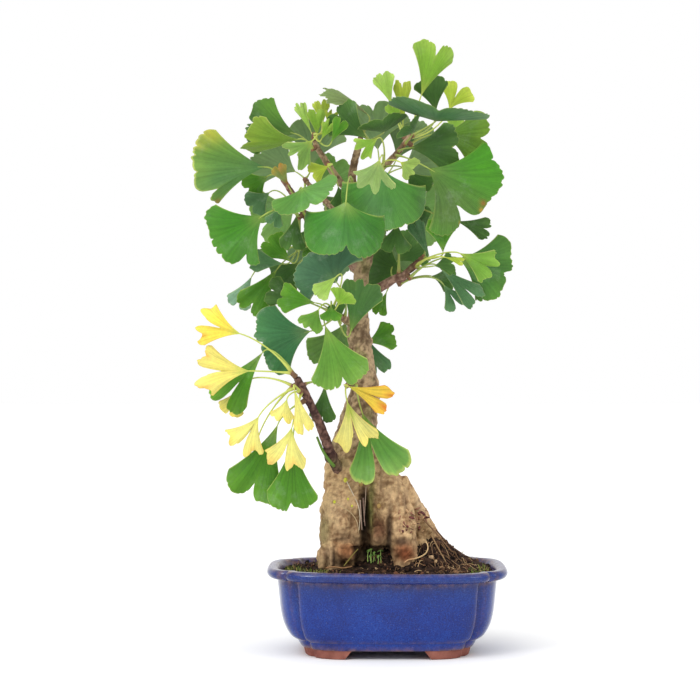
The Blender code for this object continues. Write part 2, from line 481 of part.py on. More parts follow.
OUTER = [  # height, half width of the outside, crease
    (POT_FLOOR_UNDER, 0.0620, 0.05), (0.0085, 0.0655, 0.06), (0.0132, 0.0722, 0.07), (0.0215, 0.0765, 0.075), (0.0330, 0.0797, 0.075),
    (0.0460, 0.0812, 0.075), (0.0525, 0.0822, 0.07), (0.0550, 0.0872, 0.06), (0.0585, 0.0900, 0.06), (0.0615, 0.0898, 0.06),
    (POT_HEIGHT, 0.0878, 0.06),
]
INNER = [(POT_HEIGHT, 0.0820, 0.06), (0.0600, 0.0795, 0.065), (0.0460, 0.0757, 0.075), (0.0330, 0.0742, 0.075), (0.0215, 0.0712, 0.075), (POT_FLOOR_TOP, 0.0650, 0.07)]


def build_pot():
    mat = material("glaze", (0.035, 0.075, 0.42), 0.16)
    pot = loft("pot", [ring(z, w, c) for z, w, c in OUTER] + [ring(z, w, c, POT_WALL) for z, w, c in INNER], mat)
    foot = loft("foot_ring", [ring(0.0, 0.0602, 0.05), ring(FOOT_HEIGHT, 0.0614, 0.05)])
    hollow = as_cutter(loft("foot_hollow", [ring(-0.002, 0.0470, 0.05, 0.0132), ring(FOOT_HEIGHT + 0.002, 0.0470, 0.05, 0.0132)]))
    front_gap = as_cutter(block("front_gap", (-0.0300, -0.090, -0.002), (0.0300, 0.090, FOOT_HEIGHT + 0.001), taper=0.2))
    side_gap = as_cutter(block("side_gap", (-0.120, -0.0170, -0.002), (0.120, 0.0170, FOOT_HEIGHT + 0.001)))
    for cutter in (hollow, front_gap, side_gap):
        boolean(foot, cutter, "DIFFERENCE")
    applied(foot)
    joined(pot, [foot])
    for side in (-1, 1):
        bm = bmesh.new()
        bmesh.ops.create_cone(bm, cap_ends=True, segments=16, radius1=DRAIN_DIAMETER / 2, radius2=DRAIN_DIAMETER / 2, depth=0.03, matrix=Matrix.Translation((side * DRAIN_OFFSET, 0, POT_FLOOR_UNDER)))
        mesh = bpy.data.meshes.new("drain")
        bm.to_mesh(mesh)
        bm.free()
        boolean(pot, as_cutter(add("drain", mesh, None)), "DIFFERENCE")
    applied(pot)
    return pot


def build_screen(name, x):
    mat = material("screen_plastic", (0.03, 0.03, 0.03), 0.6)
    half = SCREEN_SIDE / 2
    screen = block(name, (x - half, -half, POT_FLOOR_TOP + GAP), (x + half, half, POT_FLOOR_TOP + GAP + SCREEN_THICKNESS), mat)
    step, hole = 0.0070, 0.0022
    bm = bmesh.new()
    for i in range(-1, 2):
        for j in range(-1, 2):
            made = bmesh.ops.create_cube(bm, size=2 * hole)
            bmesh.ops.translate(bm, verts=made["verts"], vec=(x + i * step, j * step, POT_FLOOR_TOP + GAP + SCREEN_THICKNESS / 2))
    mesh = bpy.data.meshes.new(name + "_holes")
    bm.to_mesh(mesh)
    bm.free()
    boolean(screen, as_cutter(add(name + "_holes", mesh, None)), "DIFFERENCE")
    return applied(screen)


# ---------------------------------------------------------------- trunk
TRUNK = {  # (u, v, depth, radius in mm)
    "trunk": [(356, 586, 4, 19.0), (354, 548, 4, 20.5), (353, 520, 3, 21.5), (353, 495, 2, 22.0), (354, 470, 0, 21.5), (355, 450, 0, 18.5), (357, 430, 0, 15.5), (360, 412, 0, 12.8), (363, 396, 0, 10.6), (364.5, 380, 0, 9.8), (361, 362, 0, 8.8), (359.5, 342, 0, 8.6), (358, 318, 0, 8.0), (359, 298, 0, 6.8), (361.5, 275, 0, 5.6), (365.5, 252, 0, 6.2), (362, 232, 1, 6.0), (357, 214, 1, 5.6), (352, 192, 2, 4.8)],
    "left_root": [(342, 478, -8, 11.0), (337, 510, -12, 12.0), (335, 540, -12, 11.3), (333, 590, -9, 10.0)],
    "right_root": [(366, 458, -5, 11.0), (384, 484, -8, 13.0), (395, 510, -11, 12.6), (401, 535, -14, 11.6), (403, 590, -12, 10.4)],
    "right_outer_root": [(380, 472, 3, 9.0), (402, 498, 5, 10.8), (417, 522, 7, 11.0), (431, 548, 9, 9.8), (446, 592, 12, 8.8)],
    "middle_root": [(368, 498, 2, 10.0), (377, 530, 0, 11.0), (380, 590, 0, 11.0)],
    "rear_left_root": [(350, 486, 12, 14.0), (344, 528, 22, 13.0), (338, 590, 29, 12.0)],
    "rear_right_root": [(376, 484, 12, 12.0), (398, 528, 24, 12.5), (414, 592, 31, 11.5)],
}
ROOTS = ("trunk", "left_root", "right_root", "right_outer_root", "middle_root", "rear_left_root", "rear_right_root")
SIDES = {"trunk": 4}


def limb(name, raw, grow=0.0, resolution=2, deeper=0.0):
    points = [at(u, v, d) for u, v, d, r in raw]
    if deeper:
        points[0 if name.endswith("trunk") else -1][2] -= deeper
    return tube(name, points, [r * 0.001 + grow for u, v, d, r in raw], resolution)


def build_trunk():
    mat = material("bark", (0.33, 0.22, 0.12), 0.85)
    trunk = limb("trunk", TRUNK["trunk"], resolution=4)
    joined(trunk, [limb(n, TRUNK[n], resolution=3) for n in ROOTS[1:]])
    joined(trunk, [limb(n, raw, resolution=1) for n, raw in STEMS.items()])
    trunk.data.materials.clear()
    trunk.data.materials.append(mat)
    return trunk


# ---------------------------------------------------------------- soil
def soil_height(x, y):
    h = SOIL_LEVEL
    h += 0.0335 * math.exp(-(((x - 0.024) / 0.027) ** 2 + ((y - 0.012) / 0.026) ** 2))
    h += 0.0050 * math.exp(-(((x + 0.020) / 0.040) ** 2 + ((y - 0.006) / 0.040) ** 2))
    return h + 0.0006 * math.sin(90 * x + 1) * math.sin(110 * y)


def soil_body(grow):
    rings = []
    inside = [(z, w, c) for z, w, c in reversed(INNER) if z < SOIL_LEVEL]
    inside[0] = (POT_FLOOR_TOP + GAP, inside[0][1], inside[0][2])
    for z, w, c in inside:
        rings.append(ring(z, w - 0.0005, c, POT_WALL + 0.0005))
    edge = ring(SOIL_LEVEL, 0.0789, 0.065, POT_WALL + 0.0005)
    for f in (1.0, 0.85, 0.7, 0.55, 0.4, 0.25, 0.1):
        rings.append([(x * f, y * f, soil_height(x * f, y * f)) for x, y, z in edge])
    soil = loft("soil", rings)
    for n in ROOTS:
        socket = limb("socket_" + n, TRUNK[n], grow=grow, resolution=4 if n == "trunk" else 3, deeper=0.0006)
        boolean(soil, socket, "DIFFERENCE", "MANIFOLD")  # the sockets meet at fine creases
        applied(soil)
        drop(socket)
    half = SCREEN_SIDE / 2 + 0.0005
    for side in (-1, 1):
        x = side * DRAIN_OFFSET
        pocket = block("screen_pocket", (x - half, -half, 0.010), (x + half, half, POT_FLOOR_TOP + 2 * GAP + SCREEN_THICKNESS))
        boolean(soil, pocket, "DIFFERENCE", "MANIFOLD")
        applied(soil)
        drop(pocket)
    return soil


def build_soil():
    mat = material("soil", (0.035, 0.022, 0.014), 0.95)
    for k in range(8):
        soil = soil_body(GAP + 0.00010 + 0.00003 * k)
        if is_sound(soil) or k == 7:
            break
        drop(soil)
    soil.data.materials.clear()
    soil.data.materials.append(mat)
    return soil


# ---------------------------------------------------------------- leaves
def build_blade(lf, frame):
    """The fan of one leaf: a flat grid bent to shape, then thickened."""
    small = frame[4] < 0.026
    across, along = (3, 2) if small else (5, 2)
    bm = bmesh.new()
    bmesh.ops.create_grid(bm, x_segments=across, y_segments=along, size=1.0)
    for v in bm.verts:
        a, s = v.co.x, 0.06 + 0.94 * (v.co.y + 1) / 2
        reach = 0.25 * sum(margin(lf, max(-1.0, min(1.0, a + e))) for e in (-0.15, -0.05, 0.05, 0.15))
        v.co = Vector([float(c) for c in blade_point(lf, frame, a, s, reach)])
    mesh = bpy.data.meshes.new(lf["name"])
    bm.to_mesh(mesh)
    bm.free()
    ob = add(lf["name"], mesh, None)
    thick = ob.modifiers.new("thickness", "SOLIDIFY")
    thick.thickness = LEAF_THICKNESS
    thick.offset = 0.0
    applied(ob)
    bm = bmesh.new()
    bm.from_mesh(ob.data)
    bmesh.ops.recalc_face_normals(bm, faces=bm.faces)
    bm.to_mesh(ob.data)
    bm.free()
    return ob


def shoot_origin(group):
    """Where the stalks of a shoot's leaves meet, just off the woody stem."""
    centre, along, radius = stem_point(group[0]["stem"], group[0]["t"])
    aim = sum(unit(at(*lf["base"]) - centre) for lf in group)
    if group[0]["t"] < 0.999:
        aim = aim - along * float(np.dot(aim, along))
    else:
        aim = unit(aim) + along
    return centre + unit(aim) * (radius + 0.0032)


def shoot_body(name, group, k):
    """The leaves of one shoot joined at its bud; k shifts the joints a little."""
    solver = "EXACT" if k < 6 else "MANIFOLD"  # a stalk that grazes its blade joins it on the second way
    origin = shoot_origin(group) if len(group) > 1 else None
    body = None
    if origin is not None:
        bm = bmesh.new()
        bmesh.ops.create_icosphere(bm, subdivisions=1, radius=0.0021, matrix=Matrix.Translation(Vector([float(c) for c in origin])) @ Matrix.Rotation(0.3 + k, 4, "X"))
        mesh = bpy.data.meshes.new(name)
        bm.to_mesh(mesh)
        bm.free()
        body = add(name, mesh, None)
    for lf in group:
        frame = blade_frame(lf)
        points = petiole_points(lf, frame, 4, origin)
        points[-1] = points[-2] + (points[-1] - points[-2]) * (1 + 0.11 * k)
        stalk = tube(lf["name"] + "_stalk", points, [STALK_RADIUS + 0.00001 * k] * len(points), 0)
        joined(stalk, [build_blade(lf, frame)], solver)
        if not is_sound(stalk):
            drop(stalk)
            if body:
                drop(body)
            return None
        if body is None:
            body = stalk
        else:
            joined(body, [stalk], solver)
            if not is_sound(body):
                drop(body)
                return None
    return body


def build_leaves():
    names = []
    for lf in LEAVES:
        if lf["node"] not in names:
            names.append(lf["node"])
    made = []
    for name in names:
        group = [lf for lf in LEAVES if lf["node"] == name]
        mat = material(name, LEAF_COLOURS[group[0]["tone"]], 0.55)
        body = None
        for k in range(12):
            body = shoot_body(name, group, k)
            if body:
                break
        if body is None:
            print("no sound body for", name)
            continue
        body.name = name
        body.data.name = name
        body.data.materials.clear()
        body.data.materials.append(mat)
        made.append(body)
    return made


pieces = [build_pot(), build_screen("drain_screen_left", -DRAIN_OFFSET), build_screen("drain_screen_right", DRAIN_OFFSET), build_soil(), build_trunk()]
pieces += build_leaves()
for ob in pieces[:1] + pieces[4:5]:
    ob.data.shade_smooth()
    ob.data.set_sharp_from_angle(angle=math.radians(35))

# the origin goes under the middle of the whole object's box
corners = np.array([v.co[:] for ob in pieces for v in ob.data.vertices])
middle = (corners.min(axis=0) + corners.max(axis=0)) / 2
shift = Vector((-float(middle[0]), -float(middle[1]), -float(corners[:, 2].min())))
for ob in pieces:
    ob.data.transform(Matrix.Translation(shift))
    ob.data.update()
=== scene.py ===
import json
import math

import bmesh
import bpy
import numpy as np
from mathutils import Matrix, Vector, noise

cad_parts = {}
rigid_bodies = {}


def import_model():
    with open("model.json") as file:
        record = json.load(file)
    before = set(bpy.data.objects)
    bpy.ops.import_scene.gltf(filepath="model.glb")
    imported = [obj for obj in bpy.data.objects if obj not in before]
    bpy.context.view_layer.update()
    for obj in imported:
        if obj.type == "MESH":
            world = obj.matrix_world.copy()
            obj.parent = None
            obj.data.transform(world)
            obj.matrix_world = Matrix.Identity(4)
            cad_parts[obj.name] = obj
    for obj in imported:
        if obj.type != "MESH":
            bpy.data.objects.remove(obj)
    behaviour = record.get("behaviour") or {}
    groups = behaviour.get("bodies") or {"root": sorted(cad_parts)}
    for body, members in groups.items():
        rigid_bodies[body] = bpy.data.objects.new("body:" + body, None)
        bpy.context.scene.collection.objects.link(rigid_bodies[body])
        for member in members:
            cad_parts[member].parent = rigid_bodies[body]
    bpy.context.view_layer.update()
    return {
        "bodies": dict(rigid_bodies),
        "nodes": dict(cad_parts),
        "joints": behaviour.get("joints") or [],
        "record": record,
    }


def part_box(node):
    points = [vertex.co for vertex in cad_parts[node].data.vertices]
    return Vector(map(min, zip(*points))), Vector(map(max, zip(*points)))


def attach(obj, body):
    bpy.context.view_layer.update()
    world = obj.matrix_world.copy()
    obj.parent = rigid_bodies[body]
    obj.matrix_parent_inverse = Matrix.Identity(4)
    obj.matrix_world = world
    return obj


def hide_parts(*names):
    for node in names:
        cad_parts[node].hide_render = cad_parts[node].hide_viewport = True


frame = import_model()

# ---------------------------------------------------------------- drawing grid
# Places on the plant are given on a front elevation: u runs right and v runs down in grid units,
# and depth runs back in millimetres from the middle of the pot. The elevation is drawn in
# perspective from EYE_DISTANCE in front of the pot's middle and EYE_HEIGHT above the table.
GRID = 0.18 / 239.0          # metres per grid unit at the pot's middle
EYE_DISTANCE = 1.56
EYE_HEIGHT = 0.2256
EYE_U, EYE_V = 350.0, 350.0
POT_U = 386.8                # the pot's middle on the elevation


def at(u, v, depth):
    """A point of the front elevation, in metres, with the pot's middle at x = y = 0."""
    y = depth * 0.001
    k = GRID * (EYE_DISTANCE + y) / EYE_DISTANCE
    return np.array([(u - EYE_U) * k - (POT_U - EYE_U) * GRID, y, EYE_HEIGHT - (v - EYE_V) * k])


def unit(v):
    return v / max(float(np.linalg.norm(v)), 1e-12)


def turned(v, axis, angle):
    """v turned about a unit axis by an angle in radians."""
    c, s = math.cos(angle), math.sin(angle)
    return v * c + np.cross(axis, v) * s + axis * np.dot(axis, v) * (1 - c)


# ---------------------------------------------------------------- woody stems
# name: [(u, v, depth, radius in mm), ...] from the thick end to the tip
STEMS = {
    "basal_shoot": [(340, 473, -12, 4.2), (331, 455, -28, 4.0), (325, 438, -34, 3.7), (318, 420, -38, 3.3), (309, 401, -42, 3.1), (302, 388, -44, 3.3), (297, 378, -45, 2.6)],
    "low_spur": [(363, 379, -2, 3.2), (356, 381, -12, 2.8), (349, 384, -20, 2.4)],
    "right_branch": [(364, 297, 0, 3.9), (386, 284, -6, 3.5), (394, 279, -9, 3.1), (402, 277, -11, 3.5), (406, 273, -12, 2.6), (413, 267, -13, 2.8), (419, 261, -14, 2.2)],
    "left_branch": [(357, 266, 0, 3.6), (340, 256, -8, 3.2), (325, 245, -15, 2.9), (313, 229, -20, 2.7), (302, 210, -24, 2.6), (292, 193, -26, 2.4), (282, 178, -27, 2.0)],
    "middle_spur": [(356, 326, 0, 3.4), (347, 321, -12, 3.0), (339, 316, -24, 2.6), (333, 312, -34, 2.3)],
    "crown_leader": [(353, 196, 2, 4.2), (352, 180, 4, 3.4), (354, 164, 4, 3.0), (358, 149, 2, 2.7), (361, 137, -1, 2.2)],
    "crown_left": [(351, 194, 2, 3.4), (341, 183, -2, 2.9), (333, 172, -6, 2.7), (325, 160, -10, 2.4), (318, 149, -13, 2.2), (314, 140, -15, 1.9)],
    "crown_right": [(353, 194, 3, 3.6), (366, 180, -1, 3.1), (379, 170, -6, 2.8), (391, 160, -10, 2.5), (402, 147, -12, 2.2), (411, 134, -12, 1.9)],
    "rear_branch": [(360, 226, 3, 3.6), (365, 214, 16, 3.1), (371, 202, 29, 2.8), (376, 191, 41, 2.5), (379, 181, 51, 2.2), (380, 170, 59, 1.9)],
    "rear_spur": [(360, 322, 0, 3.2), (362, 318, 11, 2.8), (365, 315, 20, 2.4)],
    "rear_left": [(356, 232, 4, 3.4), (344, 218, 18, 2.8), (331, 206, 31, 2.5), (318, 194, 42, 2.2), (307, 182, 48, 1.9)],
}


def stem_point(stem, t):
    """Centre, direction and radius (metres) at the fraction t of a stem's length."""
    raw = STEMS[stem]
    pts = [at(u, v, d) for u, v, d, r in raw]
    run = [0.0]
    for a, b in zip(pts, pts[1:]):
        run.append(run[-1] + float(np.linalg.norm(b - a)))
    s = t * run[-1]
    for i in range(len(pts) - 1):
        if s <= run[i + 1] + 1e-12:
            f = (s - run[i]) / (run[i + 1] - run[i])
            r = raw[i][3] + (raw[i + 1][3] - raw[i][3]) * f
            return pts[i] + (pts[i + 1] - pts[i]) * f, unit(pts[i + 1] - pts[i]), r * 0.001
    return pts[-1], unit(pts[-1] - pts[-2]), raw[-1][3] * 0.001


# ---------------------------------------------------------------- leaves
# One line for each leaf: the node, the leaf's own name, the stem it grows on and how far along, the
# foot of the blade, the middle of its outer margin (u, v, depth), half the angle of the fan in
# degrees, then the shape: roll about the midrib, cup (sides bent back), droop (bent along its length),
# notch depth and place (-1 left edge to 1 right edge), depth of the smaller lobes, wave, tone.
LEAVES = []


def leaf(node, stem, t, base, tip, spread, roll=0, cup=25, droop=15, notch=0.15, where=0.0, lobes=0.0, wave=1.0, tone="green", name=None, bow=0.3):
    LEAVES.append(dict(node=node, name=name or node, stem=stem, t=t, base=base, tip=tip, spread=spread, roll=roll, cup=cup, droop=droop, notch=notch, where=where, lobes=lobes, wave=wave, tone=tone, bow=bow, seed=len(LEAVES)))


# the top of the crown
leaf("leaf_top_upright", "crown_right", 1.0, (421, 96, -14), (437, 43, -18), 28, roll=14, cup=30, notch=0.26, where=0.1, tone="young")
leaf("leaves_top_small", "crown_right", 0.93, (392, 106, -2), (382, 74, -4), 23, cup=35, tone="pale", name="leaf_top_pale", notch=0.08)
leaf("leaves_top_small", "crown_right", 0.93, (403, 126, 3), (402, 82, 3), 14, tone="lemon", name="leaf_top_narrow")
leaf("leaves_top_small", "crown_right", 0.93, (401, 125, -6), (391, 104, -8), 24, tone="young", name="leaf_top_short")
leaf("leaf_top_dark", "crown_right", 0.97, (436, 112, 18), (430, 78, 8), 34, tone="dark")
leaf("leaves_top_small", "crown_right", 0.95, (449, 110, 34), (461, 84, 38), 46, notch=0.45, tone="lemon", name="leaf_top_yellow_behind")
leaf("leaf_right_top_wide", "crown_right", 0.99, (436, 121, -30), (440, 104, -74), 74, cup=15, droop=20, tone="dark")
leaf("leaf_right_top_olive", "crown_right", 0.9, (441, 134, -4), (488, 139, -6), 42, tone="olive")
leaf("leaves_top_left", "crown_leader", 1.0, (368, 115, -12), (322, 92, -20), 36, roll=68, droop=35, lobes=0.1, tone="grey", name="leaf_top_ribbed", wave=0.6, notch=0.05)
leaf("leaves_top_left", "crown_leader", 0.95, (367, 139, -26), (334, 112, -32), 36, cup=40, tone="dark", name="leaf_top_folded")
leaf("leaf_top_centre", "crown_leader", 0.9, (384, 132, -22), (382, 118, -50), 50, droop=25, tone="dark")
leaf("leaf_top_right_centre", "crown_right", 0.85, (413, 133, -26), (408, 124, -48), 32, droop=22, tone="dark", bow=0.2)
leaf("leaf_right_shade", "crown_right", 0.75, (409, 148, -24), (458, 147, -34), 36, tone="dark")

# the front of the crown
leaf("leaf_right_large", "crown_right", 0.7, (428, 168, -44), (489, 205, -52), 58, notch=0.26, where=0.36, lobes=0.07, tone="green")
leaf("leaf_front_centre", "crown_leader", 0.2, (346, 201, -74), (342, 257, -84), 86, notch=0.14, where=-0.05, tone="green", cup=78)
leaf("leaf_front_right", "crown_right", 0.25, (384, 170, -40), (383, 228, -50), 84, notch=0.12, where=0.35, tone="bright", bow=0.12, cup=74)
leaf("leaves_front_small", "crown_right", 0.5, (380, 159, -68), (370, 192, -74), 48, notch=0.3, where=-0.4, lobes=0.25, tone="pale", name="leaf_front_young", bow=0.12)
leaf("leaves_front_small", "crown_right", 0.62, (378, 138, -46), (357, 153, -50), 36, lobes=0.25, tone="young", name="leaf_front_small_left", bow=0.15)
leaf("leaves_front_small", "crown_right", 0.62, (400, 162, -64), (417, 172, -68), 50, lobes=0.25, notch=0.2, tone="lemon", name="leaf_front_small_right", bow=0.12)

# the left of the crown
leaf("leaves_left_upper", "crown_left", 0.9, (296, 134, -18), (247, 121, -18), 44, lobes=0.05, tone="dark", name="leaf_left_dark")
leaf("leaves_left_upper", "crown_left", 0.8, (299, 139, -32), (244, 140, -42), 40, roll=-60, cup=45, tone="bright", name="leaf_left_edge")
leaf("leaf_left_large", "left_branch", 0.97, (266, 167, -26), (193, 167, -38), 37, notch=0.22, where=-0.65, lobes=0.05, tone="bright")
leaf("leaf_left_under", "left_branch", 0.9, (268, 176, -8), (246, 190, -6), 46, tone="green")
leaf("leaf_left_butterfly", "left_branch", 0.8, (302, 188, -46), (312, 208, -66), 108, cup=10, droop=30, tone="bright")
leaf("leaf_left_lower_large", "left_branch", 0.72, (264, 215, -46), (218, 248, -54), 49, notch=0.2, where=-0.6, tone="green")
leaf("leaves_left_inner", "left_branch", 0.66, (281, 207, -32), (272, 225, -36), 32, tone="blue", name="leaf_left_bluish_small")
leaf("leaves_left_inner", "left_branch", 0.6, (297, 214, -34), (291, 249, -38), 26, tone="dark", name="leaf_left_hanging_dark")
leaf("leaves_left_inner", "left_branch", 0.5, (291, 262, -20), (266, 240, -22), 36, tone="green", name="leaf_left_inner")
leaf("leaves_left_inner", "left_branch", 0.45, (284, 264, -30), (252, 260, -38), 24, tone="blue", name="leaf_left_bluish_tip")
leaf("leaves_left_hanging", "left_branch", 0.4, (278, 268, -14), (248, 310, -14), 24, droop=25, tone="green", name="leaf_left_long_hanging")
leaf("leaves_left_hanging", "left_branch", 0.35, (252, 276, 4), (236, 307, 6), 26, notch=0.35, tone="grey", name="leaf_left_pale_behind")

# the young shoot on the left of the crown
leaf("leaves_young_shoot", "crown_left", 1.0, (312, 134, -14), (299, 104, -12), 13, tone="pale", name="leaf_young_1")
leaf("leaves_young_shoot", "crown_left", 1.0, (317, 137, -22), (316, 110, -26), 24, tone="young", name="leaf_young_2")
leaf("leaves_young_shoot", "crown_left", 1.0, (322, 128, -6), (321, 101, -4), 22, tone="lemon", name="leaf_young_3")
leaf("leaves_young_shoot", "crown_left", 1.0, (328, 128, -16), (333, 110, -18), 30, lobes=0.2, tone="lemon", name="leaf_young_4")
leaf("leaves_young_shoot", "crown_left", 1.0, (321, 140, -28), (331, 121, -34), 24, lobes=0.2, tone="young", name="leaf_young_5")
leaf("leaves_young_shoot", "crown_left", 0.95, (313, 140, -42), (290, 162, -50), 40, notch=0.3, where=0.1, lobes=0.3, tone="young", name="leaf_young_lobed")
leaf("leaf_young_yellow", "crown_left", 0.6, (329, 166, -34), (311, 174, -42), 34, tone="lemon")
leaf("leaf_left_variegated", "left_branch", 0.6, (289, 187, -34), (277, 166, -36), 24, tone="olive")

# the middle of the crown, in front of the trunk
leaf("leaf_middle_bluish", "middle_spur", 0.6, (337, 283, -48), (312, 251, -54), 90, notch=0.2, where=0.15, tone="blue", cup=30)
leaf("leaf_middle_ribbed", "left_branch", 0.25, (321, 268, -30), (313, 246, -32), 42, tone="green")
leaf("leaves_middle_small", "middle_spur", 1.0, (337, 276, -72), (317, 295, -78), 24, cup=40, tone="pale", name="leaf_middle_pale", notch=0.04)
leaf("leaves_middle_small", "middle_spur", 1.0, (338, 305, -74), (346, 291, -82), 58, cup=35, tone="young", name="leaf_middle_curled", notch=0.08)
leaf("leaves_middle_small", "middle_spur", 1.0, (331, 306, -68), (331, 321, -74), 50, tone="green", name="leaf_middle_short")
leaf("leaves_middle_small", "middle_spur", 1.0, (319, 309, -68), (307, 330, -74), 42, cup=40, lobes=0.15, tone="bright", name="leaf_middle_curled_left")
leaf("leaf_middle_right", "middle_spur", 0.8, (350, 334, -50), (366, 281, -50), 28, lobes=0.05, tone="green")
leaf("leaves_middle_left", "middle_spur", 0.9, (316, 303, -48), (280, 297, -54), 28, tone="green", name="leaf_middle_left_up")
leaf("leaves_middle_left", "middle_spur", 0.5, (302, 300, -28), (268, 289, -30), 30, tone="dark", name="leaf_middle_left_dark")
leaf("leaf_middle_left_large", "middle_spur", 0.85, (311, 331, -32), (257, 344, -32), 50, notch=0.12, lobes=0.06, tone="blue")
leaf("leaf_middle_hanging", "middle_spur", 0.95, (325, 325, -66), (345, 385, -72), 33, tone="bright")
leaf("leaves_behind_trunk", "rear_spur", 1.0, (366, 343, 18), (394, 333, 26), 34, tone="green", name="leaf_behind_trunk_upper")
leaf("leaves_behind_trunk", "rear_spur", 1.0, (366, 336, 30), (379, 373, 32), 26, tone="blue", name="leaf_behind_trunk_lower")

# the right of the crown
leaf("leaves_right_behind", "right_branch", 0.5, (405, 272, 12), (364, 262, 26), 50, tone="dark", name="leaf_right_behind_branch")
leaf("leaf_right_under_front", "right_branch", 0.66, (397, 222, -28), (394, 253, -30), 38, notch=0.25, tone="dark")
leaf("leaves_right_upright", "right_branch", 1.0, (443, 253, -34), (441, 219, -40), 33, tone="green", name="leaf_right_upright", bow=0.15)
leaf("leaf_right_dark_small", "crown_right", 0.3, (456, 221, -22), (489, 230, -20), 23, tone="dark")
leaf("leaves_right_lower", "right_branch", 0.74, (458, 258, -24), (510, 275, -30), 50, lobes=0.05, tone="green", name="leaf_right_lower_large")
leaf("leaves_right_light", "right_branch", 0.93, (459, 253, -50), (495, 270, -58), 30, tone="young", name="leaf_right_light", bow=0.15, lobes=0.12)
leaf("leaves_right_light", "right_branch", 0.93, (444, 257, -54), (463, 262, -58), 14, tone="lemon", name="leaf_right_light_narrow", bow=0.15)
leaf("leaves_right_shade", "right_branch", 0.58, (431, 276, -6), (455, 280, -4), 42, tone="dark", name="leaf_right_shade_low")
leaf("leaves_right_upright", "right_branch", 1.0, (430, 259, -22), (414, 222, -24), 15, tone="blue", name="leaf_right_narrow_bluish")
leaf("leaves_right_lower", "right_branch", 0.74, (438, 266, -28), (478, 300, -32), 17, notch=0.3, tone="blue", name="leaf_right_long_bluish")
leaf("leaves_right_shade", "right_branch", 0.58, (443, 284, -22), (459, 307, -24), 32, notch=0.45, tone="blue", name="leaf_right_hanging_small")
leaf("leaves_right_behind", "right_branch", 0.5, (387, 291, 10), (378, 314, 12), 22, tone="green", name="leaf_by_trunk_small")

# the yellow leaves at the lower left
leaf("leaves_low_yellow", "basal_shoot", 1.0, (241, 334, -58), (197, 321, -64), 30, notch=0.55, tone="yellow", name="leaf_low_yellow_top", lobes=0.16)
leaf("leaves_low_yellow", "basal_shoot", 0.99, (250, 371, -54), (196, 371, -60), 24, notch=0.5, tone="yellow", name="leaf_low_yellow_left", lobes=0.16)
leaf("leaf_low_green_left", "basal_shoot", 0.97, (263, 352, -36), (222, 404, -38), 22, notch=0.4, tone="green")
leaf("leaves_low_small", "basal_shoot", 0.95, (242, 386, -30), (228, 414, -28), 30, tone="yellow", name="leaf_low_pale_behind")
leaf("leaf_low_yellow_lobed", "basal_shoot", 0.93, (259, 416, -52), (238, 452, -58), 32, notch=0.5, tone="yellow", lobes=0.2)
leaf("leaves_low_front", "basal_shoot", 0.9, (287, 399, -60), (281, 422, -64), 34, tone="yellow", name="leaf_low_square", lobes=0.12)
leaf("leaves_low_front", "basal_shoot", 0.96, (294, 388, -66), (305, 431, -72), 15, tone="yellow", name="leaf_low_long")
leaf("leaf_low_yellow_fork", "basal_shoot", 0.88, (292, 427, -62), (282, 470, -66), 30, notch=0.7, where=0.05, tone="yellow", lobes=0.14)
leaf("leaves_low_small", "basal_shoot", 0.85, (256, 446, -36), (251, 477, -36), 26, tone="lemon", name="leaf_low_small_left")
leaf("leaves_low_green", "basal_shoot", 0.8, (278, 424, -40), (249, 496, -42), 22, tone="green", name="leaf_low_green_hanging_left")
leaf("leaves_low_green", "basal_shoot", 0.7, (293, 440, -50), (291, 508, -50), 22, tone="green", name="leaf_low_green_hanging_right")

# low on the trunk
leaf("leaves_trunk_yellow", "low_spur", 1.0, (347, 401, -46), (359, 449, -52), 30, notch=0.6, tone="yellow", name="leaf_trunk_yellow_fork", lobes=0.12)
leaf("leaves_trunk_yellow", "low_spur", 0.9, (347, 386, -38), (389, 402, -44), 22, notch=0.4, tone="orange", name="leaf_trunk_orange")
leaf("leaf_trunk_green_large", "low_spur", 0.7, (362, 412, -34), (385, 478, -38), 32, notch=0.45, where=0.1, tone="green")
leaf("leaf_trunk_dark", "basal_shoot", 0.92, (325, 384, -30), (322, 422, -30), 24, tone="dark", bow=0.15)

# the far side of the crown
leaf("leaf_rear_top", "rear_branch", 1.0, (378, 150, 68), (372, 104, 74), 55, roll=180, tone="dark")
leaf("leaves_rear_right", "rear_branch", 0.95, (402, 168, 70), (443, 158, 84), 55, roll=180, tone="dark", name="leaf_rear_right_upper")
leaf("leaves_rear_right", "rear_branch", 0.8, (402, 205, 66), (445, 224, 80), 58, roll=180, notch=0.2, tone="green", name="leaf_rear_right_lower")
leaf("leaves_rear_middle", "rear_branch", 0.7, (378, 226, 74), (374, 276, 90), 66, roll=180, notch=0.2, tone="dark", name="leaf_rear_middle")
leaf("leaves_rear_middle", "rear_branch", 0.9, (366, 190, 84), (348, 232, 98), 60, roll=180, tone="dark", name="leaf_rear_centre")
leaf("leaves_rear_left", "rear_left", 1.0, (296, 172, 58), (255, 150, 66), 52, roll=180, tone="dark", name="leaf_rear_left_upper")
leaf("leaves_rear_left", "rear_left", 0.85, (296, 205, 60), (258, 228, 72), 56, roll=180, notch=0.2, tone="green", name="leaf_rear_left_lower")
leaf("leaf_rear_left_middle", "rear_left", 0.7, (326, 228, 56), (318, 276, 64), 55, roll=180, tone="blue")
leaf("leaf_rear_low", "rear_spur", 0.8, (346, 322, 40), (330, 368, 50), 48, roll=180, tone="green")
leaf("leaves_young_shoot", "crown_left", 1.0, (331, 143, -36), (342, 120, -42), 22, tone="green", name="leaf_young_6")
leaf("leaf_young_yellow", "crown_left", 0.6, (338, 186, -24), (343, 206, -26), 40, tone="dark", name="leaf_left_shade")
leaf("leaves_front_small", "crown_right", 0.5, (406, 170, -18), (425, 193, -20), 38, tone="dark", name="leaf_right_inner_dark")
